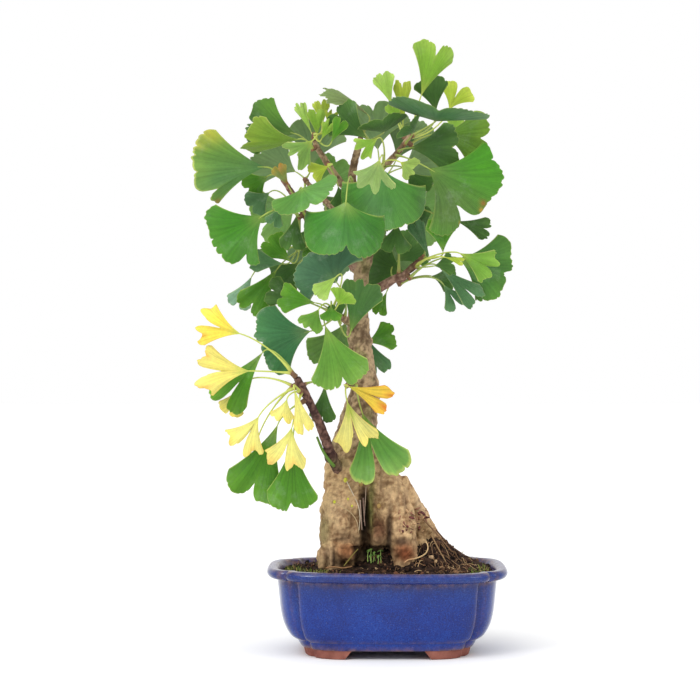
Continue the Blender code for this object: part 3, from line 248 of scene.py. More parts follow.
leaf("leaf_right_top_olive", "crown_right", 0.9, (450, 150, 10), (468, 116, 14), 34, lobes=0.1, tone="young", name="leaf_right_top_young")
leaf("leaves_left_inner", "left_branch", 0.66, (270, 192, -12), (250, 208, -12), 42, tone="blue", name="leaf_left_bluish_under")
leaf("leaves_left_hanging", "left_branch", 0.4, (318, 220, 2), (306, 252, 4), 38, tone="dark", name="leaf_left_shade_inner")
leaf("leaves_left_hanging", "left_branch", 0.4, (300, 262, 4), (276, 282, 8), 44, tone="dark", name="leaf_left_shade_low")
leaf("leaves_middle_small", "middle_spur", 1.0, (341, 322, -50), (335, 304, -52), 36, tone="dark", name="leaf_middle_shade")
leaf("leaves_right_upright", "right_branch", 1.0, (424, 238, -8), (414, 208, -4), 36, tone="dark", name="leaf_right_shade_upper")
leaf("leaves_right_light", "right_branch", 0.93, (434, 266, -44), (454, 263, -48), 40, tone="dark", name="leaf_right_shade_front")
leaf("leaves_right_behind", "right_branch", 0.5, (396, 262, 18), (420, 240, 24), 52, tone="dark", name="leaf_right_behind_upper")
leaf("leaves_rear_right", "rear_branch", 0.95, (396, 160, 82), (414, 118, 88), 42, roll=180, tone="dark", name="leaf_rear_upper_right")
leaf("leaves_rear_left", "rear_left", 1.0, (312, 166, 50), (318, 120, 52), 48, roll=180, tone="dark", name="leaf_rear_left_top")
leaf("leaves_rear_left", "rear_left", 1.0, (322, 190, 60), (338, 158, 66), 50, roll=180, tone="green", name="leaf_rear_left_inner")



def blade_frame(lf):
    """Foot of the blade, midrib direction, face normal, side direction and length."""
    b, t = at(*lf["base"]), at(*lf["tip"])
    mid = unit(t - b)
    view = np.array([0.0, -1.0, 0.0])
    normal = view - mid * float(np.dot(view, mid))
    if float(np.linalg.norm(normal)) < 0.05:
        normal = np.array([0.0, 0.0, 1.0]) - mid * mid[2]
    normal = turned(unit(normal), mid, math.radians(lf["roll"]))
    return b, mid, normal, np.cross(mid, normal), float(np.linalg.norm(t - b))


def margin(lf, a):
    """Reach of the blade at a (-1 left edge to 1 right edge), as a part of its length."""
    k = lf["seed"] * 1.7
    m = 1.0 - 0.05 * a * a - 0.17 * abs(a) ** 5
    d = abs(a - lf["where"])
    m -= lf["notch"] * math.exp(-(d / 0.10) ** 1.5) + 0.35 * lf["notch"] * math.exp(-(d / 0.28) ** 2)
    m -= lf["lobes"] * (0.5 - 0.5 * math.cos(a * 9.4 + k)) * (1 - 0.4 * abs(a))
    return m + 0.02 * math.sin(a * 5.3 + k) + 0.015 * math.sin(a * 11.0 + 2 * k)


def blade_point(lf, frame, a, s, reach=None):
    """The point of the blade at a across and s out from its foot (0 to 1)."""
    foot, mid, normal, side, size = frame
    phi = math.radians(lf["spread"]) * a * (0.50 + 0.50 * s ** 0.9)
    r = size * s * (margin(lf, a) if reach is None else reach)
    x, y, z = r * math.sin(phi), r * math.cos(phi), 0.0
    k = lf["seed"] * 2.3
    z += 0.035 * size * lf["wave"] * s * s * math.sin(a * 4.0 + k)
    bend = math.radians(lf["droop"])
    if abs(bend) > 1e-3:
        f = y / size
        y = size * (math.sin(bend / 2) - math.sin(bend / 2 - bend * f)) / (2 * math.sin(bend / 2))
        z += size * (math.cos(bend / 2 - bend * f) - math.cos(bend / 2)) / (2 * math.sin(bend / 2))
    cup = math.radians(lf["cup"])
    if abs(cup) > 1e-3:
        q = cup * x / size
        x = math.sin(q) / cup * size
        z -= (1 - math.cos(q)) / cup * size
    return foot + side * x + mid * y + normal * z


def petiole_points(lf, frame, count=7, origin=None):
    """Points of the leaf stalk from the woody stem to just inside the blade."""
    foot, mid, normal, side, size = frame
    bend = math.radians(lf["droop"])
    out = mid * math.cos(bend / 2) + normal * math.sin(bend / 2)
    if origin is None:
        centre, along, radius = stem_point(lf["stem"], lf["t"])
        aim = foot - out * 0.4 * float(np.linalg.norm(foot - centre)) - centre
        if lf["t"] < 0.999:
            aim = aim - along * float(np.dot(aim, along)) * 0.85
        origin = centre + unit(aim) * (radius + 0.0010)
    gap = float(np.linalg.norm(foot - origin))
    c1 = origin + unit(foot - out * gap * 0.5 - origin) * gap * 0.3
    c2 = foot - out * gap * lf["bow"]
    end = foot + out * size * 0.12
    pts = []
    for i in range(count):
        f = i / (count - 1)
        pts.append(origin * (1 - f) ** 3 + c1 * 3 * f * (1 - f) ** 2 + c2 * 3 * f * f * (1 - f) + foot * f ** 3)
    pts.append(end)
    return pts


TRUNK = {  # (u, v, depth, radius in mm)
    "trunk": [(356, 586, 4, 19.0), (354, 548, 4, 20.5), (353, 520, 3, 21.5), (353, 495, 2, 22.0), (354, 470, 0, 21.5), (355, 450, 0, 18.5), (357, 430, 0, 15.5), (360, 412, 0, 12.8), (363, 396, 0, 10.6), (364.5, 380, 0, 9.8), (361, 362, 0, 8.8), (359.5, 342, 0, 8.6), (358, 318, 0, 8.0), (359, 298, 0, 6.8), (361.5, 275, 0, 5.6), (365.5, 252, 0, 6.2), (362, 232, 1, 6.0), (357, 214, 1, 5.6), (352, 192, 2, 4.8)],
    "left_root": [(342, 478, -8, 11.0), (337, 510, -12, 12.0), (335, 540, -12, 11.3), (333, 590, -9, 10.0)],
    "right_root": [(366, 458, -5, 11.0), (384, 484, -8, 13.0), (395, 510, -11, 12.6), (401, 535, -14, 11.6), (403, 590, -12, 10.4)],
    "right_outer_root": [(380, 472, 3, 9.0), (402, 498, 5, 10.8), (417, 522, 7, 11.0), (431, 548, 9, 9.8), (446, 592, 12, 8.8)],
    "middle_root": [(368, 498, 2, 10.0), (377, 530, 0, 11.0), (380, 590, 0, 11.0)],
    "rear_left_root": [(350, 486, 12, 14.0), (344, 528, 22, 13.0), (338, 590, 29, 12.0)],
    "rear_right_root": [(376, 484, 12, 12.0), (398, 528, 24, 12.5), (414, 592, 31, 11.5)],
}

# ---------------------------------------------------------------- shared helpers
low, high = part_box("pot")
SHIFT = np.array([(low[0] + high[0]) / 2, (low[1] + high[1]) / 2, 0.0])  # the pot's middle in the object's frame


def linear(rgb):
    c = np.asarray(rgb, float) / 255.0
    return np.where(c <= 0.04045, c / 12.92, ((c + 0.055) / 1.055) ** 2.4)


def smooth(lo, hi, x):
    t = np.clip((x - lo) / (hi - lo), 0.0, 1.0)
    return t * t * (3 - 2 * t)


def mixed(a, b, t):
    t = np.asarray(t)[..., None]
    return np.asarray(a) * (1 - t) + np.asarray(b) * t


def grid_of(p):
    """u, v on the front elevation of points about the pot's middle."""
    k = GRID * (EYE_DISTANCE + p[:, 1]) / EYE_DISTANCE
    return EYE_U + (p[:, 0] + (POT_U - EYE_U) * GRID) / k, EYE_V - (p[:, 2] - EYE_HEIGHT) / k


def fbm(p, scale, octaves=3, seed=0.0):
    out = np.empty(len(p))
    off = Vector((seed * 13.7, seed * 7.3, seed * 3.1))
    for i, q in enumerate(p):
        out[i] = noise.fractal(Vector((q[0] * scale, q[1] * scale, q[2] * scale)) + off, 1.0, 2.0, octaves)
    return out


class Soup:
    """The closed bodies of one piece, with a tint and three numbers at every vertex."""

    def __init__(self):
        self.verts, self.faces, self.slots, self.tints, self.data, self.n = [], [], [], [], [], 0

    def add(self, verts, faces, slot=0, tint=(0.5, 0.5, 0.5), data=(0.0, 0.0, 0.0)):
        verts = np.asarray(verts, float)
        n = self.n
        self.verts.append(verts)
        self.faces += [tuple(i + n for i in f) for f in faces]
        self.slots += [slot] * len(faces)
        self.tints.append(np.broadcast_to(np.asarray(tint, float), (len(verts), 3)))
        self.data.append(np.broadcast_to(np.asarray(data, float), (len(verts), 3)))
        self.n += len(verts)

    def build(self, name, materials, flat=False):
        verts = np.concatenate(self.verts) + SHIFT
        mesh = bpy.data.meshes.new(name)
        mesh.from_pydata(verts.tolist(), [], self.faces)
        for mat in materials:
            mesh.materials.append(mat)
        mesh.polygons.foreach_set("material_index", self.slots)
        tint = np.ones((len(verts), 4))
        tint[:, :3] = np.concatenate(self.tints)
        mesh.attributes.new("tint", "FLOAT_COLOR", "POINT").data.foreach_set("color", tint.ravel())
        mesh.attributes.new("place", "FLOAT_VECTOR", "POINT").data.foreach_set("vector", np.concatenate(self.data).ravel())
        if not flat:
            mesh.shade_smooth()
        mesh.update()
        ob = bpy.data.objects.new(name, mesh)
        bpy.context.scene.collection.objects.link(ob)
        return ob


def rounded(points, per=5):
    """A Catmull-Rom run through points (each row may hold more than a place)."""
    p = np.asarray(points, float)
    ext = np.vstack([2 * p[0] - p[1], p, 2 * p[-1] - p[-2]])
    out = []
    for i in range(1, len(ext) - 2):
        a, b, c, d = ext[i - 1], ext[i], ext[i + 1], ext[i + 2]
        for k in range(per):
            t = k / per
            out.append(0.5 * (2 * b + (c - a) * t + (2 * a - 5 * b + 4 * c - d) * t * t + (3 * b - a - 3 * c + d) * t ** 3))
    out.append(p[-1])
    return np.array(out)


def tube_mesh(points, radii, sides=8):
    """A closed tube with a low dome at each end."""
    p = np.asarray(points, float)
    r = np.broadcast_to(np.asarray(radii, float), (len(p),))
    tangent = np.gradient(p, axis=0)
    tangent /= np.maximum(np.linalg.norm(tangent, axis=1, keepdims=True), 1e-12)
    ref = np.array([0.0, 0.0, 1.0]) if abs(tangent[0][2]) < 0.9 else np.array([1.0, 0.0, 0.0])
    n = unit(np.cross(tangent[0], ref))
    angles = np.arange(sides) * 2 * math.pi / sides
    verts, faces = [], []
    for i in range(len(p)):
        n = unit(n - tangent[i] * np.dot(n, tangent[i]))
        b = np.cross(tangent[i], n)
        for a in angles:
            verts.append(p[i] + r[i] * (math.cos(a) * n + math.sin(a) * b))
    for i in range(len(p) - 1):
        for j in range(sides):
            k = (j + 1) % sides
            faces.append((i * sides + j, i * sides + k, (i + 1) * sides + k, (i + 1) * sides + j))
    verts.append(p[0] - tangent[0] * r[0] * 0.5)
    verts.append(p[-1] + tangent[-1] * r[-1] * 0.5)
    c0, c1, last = len(verts) - 2, len(verts) - 1, (len(p) - 1) * sides
    for j in range(sides):
        k = (j + 1) % sides
        faces.append((c0, k, j))
        faces.append((c1, last + j, last + k))
    return np.array(verts), faces


def ball(level):
    bm = bmesh.new()
    bmesh.ops.create_icosphere(bm, subdivisions=level, radius=1.0)
    verts = np.array([v.co[:] for v in bm.verts])
    faces = [tuple(v.index for v in f.verts) for f in bm.faces]
    bm.free()
    return verts, faces


BALLS = {n: ball(n) for n in (1, 2, 3)}


def any_turn(rng):
    q = rng.normal(size=4)
    w, x, y, z = q / np.linalg.norm(q)
    return np.array([[1 - 2 * (y * y + z * z), 2 * (x * y - z * w), 2 * (x * z + y * w)], [2 * (x * y + z * w), 1 - 2 * (x * x + z * z), 2 * (y * z - x * w)], [2 * (x * z - y * w), 2 * (y * z + x * w), 1 - 2 * (x * x + y * y)]])


# ---------------------------------------------------------------- materials
class Nodes:
    def __init__(self, name, **inputs):
        self.mat = bpy.data.materials.new(name)
        self.mat.use_nodes = True
        self.tree = self.mat.node_tree
        self.shader = self.tree.nodes["Principled BSDF"]
        self.out = self.tree.nodes["Material Output"]
        for key, value in inputs.items():
            self.shader.inputs[key.replace("_", " ")].default_value = value

    def new(self, kind, **props):
        node = self.tree.nodes.new(kind)
        for key, value in props.items():
            setattr(node, key, value)
        return node

    def set(self, node, values):
        for key, value in values.items():
            if isinstance(value, bpy.types.NodeSocket):
                self.tree.links.new(value, node.inputs[key])
            else:
                node.inputs[key].default_value = value
        return node

    def attribute(self, name, output):
        return self.new("ShaderNodeAttribute", attribute_name=name).outputs[output]

    def place(self):
        return self.new("ShaderNodeTexCoord").outputs["Object"]

    def math(self, operation, a, b=0.0, c=0.0, clamp=False):
        node = self.new("ShaderNodeMath", operation=operation, use_clamp=clamp)
        self.set(node, {0: a, 1: b, 2: c})
        return node.outputs[0]

    def noise(self, scale, detail=2.0, vector=None, rough=0.5, kind="Fac"):
        node = self.new("ShaderNodeTexNoise")
        self.set(node, {"Scale": scale, "Detail": detail, "Roughness": rough, "Vector": vector if vector is not None else self.place()})
        return node.outputs[kind]

    def ramp(self, value, stops):
        node = self.new("ShaderNodeValToRGB")
        el = node.color_ramp.elements
        while len(el) < len(stops):
            el.new(0.5)
        for e, (pos, colour) in zip(el, stops):
            e.position = pos
            e.color = (*colour, 1.0)
        self.tree.links.new(value, node.inputs[0])
        return node.outputs[0]

    def level(self, value, lo, hi, to_lo=0.0, to_hi=1.0):
        node = self.new("ShaderNodeMapRange")
        self.set(node, {"Value": value, "From Min": lo, "From Max": hi, "To Min": to_lo, "To Max": to_hi})
        return node.outputs[0]

    def mix(self, fac, a, b, mode="MIX"):
        node = self.new("ShaderNodeMix", data_type="RGBA", blend_type=mode)
        for index, value in ((0, fac), (6, a), (7, b)):
            if isinstance(value, bpy.types.NodeSocket):
                self.tree.links.new(value, node.inputs[index])
            elif index == 0:
                node.inputs[0].default_value = value
            else:
                node.inputs[index].default_value = (*value, 1.0)
        return node.outputs[2]

    def bump(self, height, strength, distance, normal=None):
        node = self.new("ShaderNodeBump")
        self.set(node, {"Height": height, "Strength": strength, "Distance": distance})
        if normal is not None:
            self.tree.links.new(normal, node.inputs["Normal"])
        return node.outputs[0]

    def finish(self, colour=None, roughness=None, normal=None):
        for key, value in (("Base Color", colour), ("Roughness", roughness), ("Normal", normal)):
            if value is not None:
                self.tree.links.new(value, self.shader.inputs[key])
        return self.mat


def leaf_material(name, roughness, through, glow, bloom=0.0, powder=0.0):
    """Fan leaf: radiating forked veins on a tinted blade that lets light through."""
    n = Nodes(name, Roughness=roughness, Specular_IOR_Level=0.32)
    tint = n.attribute("tint", "Color")
    split = n.new("ShaderNodeSeparateXYZ")
    n.tree.links.new(n.attribute("place", "Vector"), split.inputs[0])
    a, s, seed = split.outputs[0], split.outputs[1], split.outputs[2]
    wander = n.noise(260, 2)
    across = n.math("ADD", n.math("MULTIPLY", a, 1.0), n.math("MULTIPLY", n.math("SUBTRACT", wander, 0.5), 0.035))
    few = n.math("POWER", n.math("ABSOLUTE", n.math("SINE", n.math("MULTIPLY", across, 58.0))), 0.6)
    many = n.math("POWER", n.math("ABSOLUTE", n.math("SINE", n.math("MULTIPLY", across, 116.0))), 0.6)
    fork = n.level(s, 0.42, 0.58)
    vein = n.math("ADD", n.math("MULTIPLY", few, n.math("SUBTRACT", 1.0, fork)), n.math("MULTIPLY", many, fork))
    flow = n.new("ShaderNodeCombineXYZ")
    n.set(flow, {0: n.math("MULTIPLY", a, 14.0), 1: n.math("MULTIPLY", s, 1.1), 2: seed})
    streak = n.noise(1.0, 3, flow.outputs[0], 0.6)
    mottle = n.noise(420, 3)
    shade = n.math("MULTIPLY", n.level(vein, 0.0, 1.0, 1.16, 0.95), n.math("MULTIPLY", n.level(streak, 0.25, 0.75, 0.80, 1.20), n.level(mottle, 0.2, 0.8, 0.91, 1.09)))
    grey = n.new("ShaderNodeCombineColor")
    for i in range(3):
        n.tree.links.new(shade, grey.inputs[i])
    colour = n.mix(1.0, tint, grey.outputs[0], "MULTIPLY")
    if bloom:  # darker, bluer clouds over the blade
        colour = n.mix(n.level(n.noise(62, 3, None, 0.6), 0.40, 0.66, 0.0, bloom), colour, n.mix(1.0, colour, (0.80, 0.88, 1.02), "MULTIPLY"))
    if powder:  # thin whitish deposit in patches
        patch = n.math("MULTIPLY", n.level(n.noise(48, 4, None, 0.7), 0.54, 0.72), n.level(n.noise(900, 3, None, 0.7), 0.35, 0.75, 0.2, 1.0))
        colour = n.mix(n.math("MULTIPLY", patch, powder), colour, (0.46, 0.56, 0.44))
    bump = n.bump(n.math("ADD", n.math("MULTIPLY", vein, -1.0), n.math("MULTIPLY", streak, 1.6)), 0.35, 0.00025)
    n.finish(colour, None, bump)
    back = n.new("ShaderNodeBsdfTranslucent")
    n.tree.links.new(n.mix(1.0, colour, glow, "MULTIPLY"), back.inputs["Color"])
    n.tree.links.new(bump, back.inputs["Normal"])
    both = n.new("ShaderNodeMixShader")
    both.inputs[0].default_value = through
    n.tree.links.new(n.shader.outputs[0], both.inputs[1])
    n.tree.links.new(back.outputs[0], both.inputs[2])
    n.tree.links.new(both.outputs[0], n.out.inputs["Surface"])
    return n.mat


def tinted_material(name, roughness, grain, amount, bump_mm, specular=0.3, second=None):
    """A surface of its own tint with noise at one or two grain sizes."""
    n = Nodes(name, Roughness=roughness, Specular_IOR_Level=specular)
    tint = n.attribute("tint", "Color")
    g = n.noise(grain, 5, None, 0.62)
    shade = n.level(g, 0.25, 0.75, 1 - amount, 1 + amount)
    height = g
    if second:
        h = n.noise(second, 3, None, 0.55)
        shade = n.math("MULTIPLY", shade, n.level(h, 0.3, 0.7, 1 - amount, 1 + amount))
        height = n.math("ADD", g, n.math("MULTIPLY", h, 0.7))
    grey = n.new("ShaderNodeCombineColor")
    for i in range(3):
        n.tree.links.new(shade, grey.inputs[i])
    colour = n.mix(1.0, tint, grey.outputs[0], "MULTIPLY")
    return n.finish(colour, None, n.bump(height, 0.6, bump_mm * 0.001))


def glaze_material():
    """Cobalt glaze: mottled, paler and greyer towards the rim, broken brown on the ridges."""
    n = Nodes("glaze", Roughness=0.13, Specular_IOR_Level=0.36, Coat_Weight=0.05, Coat_Roughness=0.06)
    split = n.new("ShaderNodeSeparateXYZ")
    n.tree.links.new(n.attribute("place", "Vector"), split.inputs[0])
    height, wear, lip = split.outputs[0], split.outputs[1], split.outputs[2]
    speck = n.noise(1300, 3, None, 0.62)
    cloud = n.noise(38, 3)
    body = n.ramp(n.math("ADD", n.math("MULTIPLY", speck, 0.75), n.math("MULTIPLY", cloud, 0.35)), [
        (0.30, (0.0004, 0.003, 0.050)), (0.48, (0.0008, 0.013, 0.145)), (0.62, (0.0016, 0.030, 0.240)), (0.82, (0.012, 0.085, 0.360))])
    greyer = n.ramp(speck, [(0.3, tuple(linear((6, 26, 76)))), (0.52, tuple(linear((20, 48, 108)))), (0.75, tuple(linear((66, 96, 140))))])
    top = n.level(n.math("ADD", height, n.math("MULTIPLY", n.math("SUBTRACT", cloud, 0.5), 0.5)), 0.55, 1.05, 0.0, 0.55)
    colour = n.mix(top, body, greyer)
    brown = n.ramp(n.noise(240, 3), [(0.35, tuple(linear((58, 40, 44)))), (0.62, tuple(linear((128, 96, 84))))])
    broken = n.math("MULTIPLY", wear, n.level(n.noise(170, 4, None, 0.65), 0.35, 0.6, 0.35, 1.0), clamp=True)
    colour = n.mix(broken, colour, brown)
    flecks = n.level(n.noise(1500, 1), 0.73, 0.78, 0.0, 0.35)
    colour = n.mix(flecks, colour, tuple(linear((170, 185, 215))))
    bump = n.bump(n.math("ADD", n.noise(60, 3), n.math("MULTIPLY", speck, 0.10)), 0.3, 0.0012)
    return n.finish(colour, n.level(n.math("ADD", broken, n.math("MULTIPLY", speck, 0.3)), 0.0, 1.2, 0.09, 0.30), bump)


LEAF_MATS = {
    "leaf_green": leaf_material("leaf_green", 0.46, 0.30, (1.2, 1.15, 0.40), 0.55, 0.34),
    "leaf_dark": leaf_material("leaf_dark", 0.5, 0.24, (1.15, 1.1, 0.45), 0.35, 0.26),
    "leaf_bluish": leaf_material("leaf_bluish", 0.6, 0.20, (1.05, 1.1, 0.8), 0.3, 0.62),
    "leaf_young": leaf_material("leaf_young", 0.5, 0.36, (1.1, 1.1, 0.6), 0.25, 0.15),
    "leaf_yellow": leaf_material("leaf_yellow", 0.55, 0.36, (1.05, 1.0, 0.7)),
}
STALK = tinted_material("leaf_stalk", 0.5, 700, 0.08, 0.05)
BUD = tinted_material("bud", 0.75, 900, 0.25, 0.25)
BARK = tinted_material("bark", 0.86, 850, 0.22, 0.45, 0.2, 210)
SOIL = tinted_material("soil", 0.95, 1100, 0.45, 0.7, 0.15, 380)
CRUMB = tinted_material("soil_crumb", 0.9, 900, 0.3, 0.4, 0.2)
HERB = tinted_material("herb", 0.55, 600, 0.12, 0.05)
TERRACOTTA = tinted_material("terracotta", 0.88, 1300, 0.14, 0.25, 0.2, 160)
GLAZE = glaze_material()
SCREEN = Nodes("screen", Roughness=0.5, Base_Color=(0.018, 0.018, 0.02, 1.0))
SCREEN = SCREEN.finish(None, None, SCREEN.bump(SCREEN.noise(900, 2), 0.2, 0.0002))

# ---------------------------------------------------------------- leaves
SLOT = {"green": "leaf_green", "dark": "leaf_dark", "blue": "leaf_bluish", "bright": "leaf_green", "young": "leaf_young", "pale": "leaf_young", "lemon": "leaf_young", "yellow": "leaf_yellow", "orange": "leaf_yellow", "olive": "leaf_dark", "grey": "leaf_dark"}
# tone: colour at the foot, over the blade, towards the outer margin, and of the margin's thin line
TONES = {
    "green": ((132, 166, 72), (82, 144, 30), (108, 162, 44), (194, 208, 108)),
    "dark": ((96, 128, 58), (66, 108, 40), (84, 126, 50), (158, 180, 92)),
    "blue": ((108, 144, 88), (78, 122, 72), (100, 144, 92), (176, 192, 128)),
    "bright": ((146, 180, 76), (104, 158, 52), (132, 176, 70), (206, 214, 118)),
    "young": ((176, 194, 82), (138, 184, 58), (166, 198, 82), (214, 222, 128)),
    "pale": ((188, 206, 108), (164, 200, 90), (186, 212, 114), (222, 228, 150)),
    "lemon": ((192, 204, 78), (172, 194, 60), (198, 210, 86), (224, 226, 124)),
    "yellow": ((206, 216, 104), (232, 228, 138), (244, 232, 128), (240, 208, 104)),
    "orange": ((208, 208, 84), (234, 212, 78), (236, 188, 66), (230, 156, 56)),
    "olive": ((96, 124, 44), (90, 124, 40), (124, 150, 64), (180, 186, 110)),
    "grey": ((116, 144, 80), (104, 138, 72), (134, 158, 96), (190, 198, 136)),
}
ROWS = [0.035, 0.09, 0.16, 0.23, 0.30, 0.37, 0.44, 0.51, 0.58, 0.65, 0.72, 0.79, 0.85, 0.90, 0.94, 0.968, 0.986, 1.0]


def fine_margin(lf, a, size):
    k = lf["seed"] * 1.7
    m = 1.0 - 0.04 * a * a - 0.14 * np.abs(a) ** 6
    d = np.abs(a - lf["where"])
    m -= lf["notch"] * np.exp(-(d / 0.075) ** 1.35) + 0.22 * lf["notch"] * np.exp(-(d / 0.25) ** 2)
    m -= lf["lobes"] * (0.5 - 0.5 * np.cos(a * 9.4 + k)) * (1 - 0.4 * np.abs(a))
    m += 0.02 * np.sin(a * 5.3 + k) + 0.012 * np.sin(a * 11.0 + 2 * k)
    arc = 2 * math.radians(lf["spread"]) * size
    rng = np.random.default_rng(40 + lf["seed"])
    x = (a * 0.5 + 0.5) * max(5.0, arc / 0.0052) * math.pi + 1.5 * np.sin(a * 4.0 + k) + 0.6 * np.sin(a * 13.0 + 2 * k)
    deep = min(max(0.0015 / size, 0.020), 0.055) * (0.60 + 0.40 * np.sin(a * 6.0 + 3 * k) + 0.25 * np.sin(a * 15.0 + k))
    m = m + deep * (np.abs(np.sin(x)) ** 0.75 - 0.5) + 0.25 * deep * (np.abs(np.sin(2.3 * x + k)) - 0.5)
    for i in range(4 if size > 0.02 else 1):  # a few deeper nicks
        m = m - rng.uniform(0.015, 0.055) * np.exp(-(np.abs(a - rng.uniform(-0.85, 0.85)) / rng.uniform(0.010, 0.024)) ** 1.2)
    return m * 1.04


def blade_grid(lf, frame, a, s, reach):
    foot, mid, normal, side, size = frame
    phi = math.radians(lf["spread"]) * a * (0.50 + 0.50 * s ** 0.9)
    r = size * s * reach
    x, y = r * np.sin(phi), r * np.cos(phi)
    k = lf["seed"] * 2.3
    z = 0.035 * size * lf["wave"] * s * s * np.sin(a * 4.0 + k)
    z = z + 0.016 * size * s ** 3 * np.sin(a * 9.5 + 2 * k) + 0.012 * size * s * np.sin(5 * s + a * 2 + k)
    ribs = 0.010 if "ribbed" in lf["name"] or "curled" in lf["name"] else 0.0022
    z = z + ribs * size * s * np.sin(a * 34.0 + k)
    bend = math.radians(lf["droop"])
    if abs(bend) > 1e-3:
        f = y / size
        y = size * (math.sin(bend / 2) - np.sin(bend / 2 - bend * f)) / (2 * math.sin(bend / 2))
        z = z + size * (np.cos(bend / 2 - bend * f) - math.cos(bend / 2)) / (2 * math.sin(bend / 2))
    cup = math.radians(lf["cup"])
    if abs(cup) > 1e-3:
        q = cup * x / size
        x = np.sin(q) / cup * size
        z = z - (1 - np.cos(q)) / cup * size
    return foot + x[..., None] * side + y[..., None] * mid + z[..., None] * normal


def blade_mesh(lf, frame):
    size = frame[4]
    arc = 2 * math.radians(lf["spread"]) * size
    na = int(min(110, max(28, arc / (0.0009))))
    rows = np.array(ROWS if size > 0.02 else ROWS[::2] + [1.0])
    a1 = np.linspace(-1, 1, na + 1)
    a, s = np.meshgrid(a1, rows, indexing="ij")
    g = blade_grid(lf, frame, a, s, fine_margin(lf, a1, size)[:, None])
    nor = np.cross(np.gradient(g, axis=0), np.gradient(g, axis=1))
    nor /= np.maximum(np.linalg.norm(nor, axis=2, keepdims=True), 1e-12)
    thick = (0.00042 - 0.00022 * s)[..., None]
    top, under = g + nor * thick / 2, g - nor * thick / 2
    ni, nj = a.shape
    index = np.arange(ni * nj).reshape(ni, nj)
    back = index + ni * nj
    faces = []
    for i in range(ni - 1):
        for j in range(nj - 1):
            faces.append((index[i, j], index[i + 1, j], index[i + 1, j + 1], index[i, j + 1]))
            faces.append((back[i, j], back[i, j + 1], back[i + 1, j + 1], back[i + 1, j]))
    edge = [(i, 0) for i in range(ni)] + [(ni - 1, j) for j in range(1, nj)] + [(i, nj - 1) for i in range(ni - 2, -1, -1)] + [(0, j) for j in range(nj - 2, 0, -1)]
    for p, q in zip(edge, edge[1:] + edge[:1]):
        faces.append((index[q], index[p], back[p], back[q]))
    # colours
    foot, blade, outer, line = (linear(c) for c in TONES[lf["tone"]])
    look = LOOKS.get(lf["name"], {})
    if "blade" in look:
        blade = linear(look["blade"])
    if "outer" in look:
        outer = linear(look["outer"])
    if "foot" in look:
        foot = linear(look["foot"])
    rng = np.random.default_rng(500 + lf["seed"])
    vary = 1 + rng.uniform(-0.07, 0.07)
    k = lf["seed"] * 3.1
    cloud = 0.5 + 0.25 * np.sin(3.1 * a + 2.0 * s + k) + 0.25 * np.sin(6.7 * a - 3.3 * s + 2 * k)
    colour = mixed(mixed(foot, blade, smooth(0.0, 0.45, s)), outer, smooth(0.62, 1.0, s) * (0.35 + 0.6 * cloud))
    colour = colour * (vary * (0.92 + 0.16 * cloud))[..., None]
    rim = look.get("rim", 0.985)
    colour = mixed(colour, line, np.maximum(smooth(rim, min(rim + 0.014, 1.0), s), smooth(0.972, 0.995, np.abs(a)) * smooth(0.2, 0.5, s)) * look.get("line", 0.75))
    # lay the spots: the leaf's own marks, and on leaf_right_large the painted shade and painted light of its fold
    for pa, ps, wide, rgb, *how in look.get("spots_and_painted_light", ()):
        colour = mixed(colour, linear(rgb), np.exp(-(((a - pa) * s) ** 2 + (s - ps) ** 2) / wide ** 2) * (how[0] if how else 0.95))
    paler = mixed(colour, linear((150, 168, 122)), 0.30) if lf["tone"] not in ("yellow", "orange", "lemon", "pale") else mixed(colour, linear((225, 225, 160)), 0.15)
    verts = np.concatenate([top.reshape(-1, 3), under.reshape(-1, 3)])
    tint = np.concatenate([colour.reshape(-1, 3), paler.reshape(-1, 3)])
    data = np.stack([a.ravel(), s.ravel(), np.full(a.size, lf["seed"] * 0.37)], axis=1)
    return verts, [tuple(int(v) for v in f) for f in faces], tint, np.concatenate([data, data])
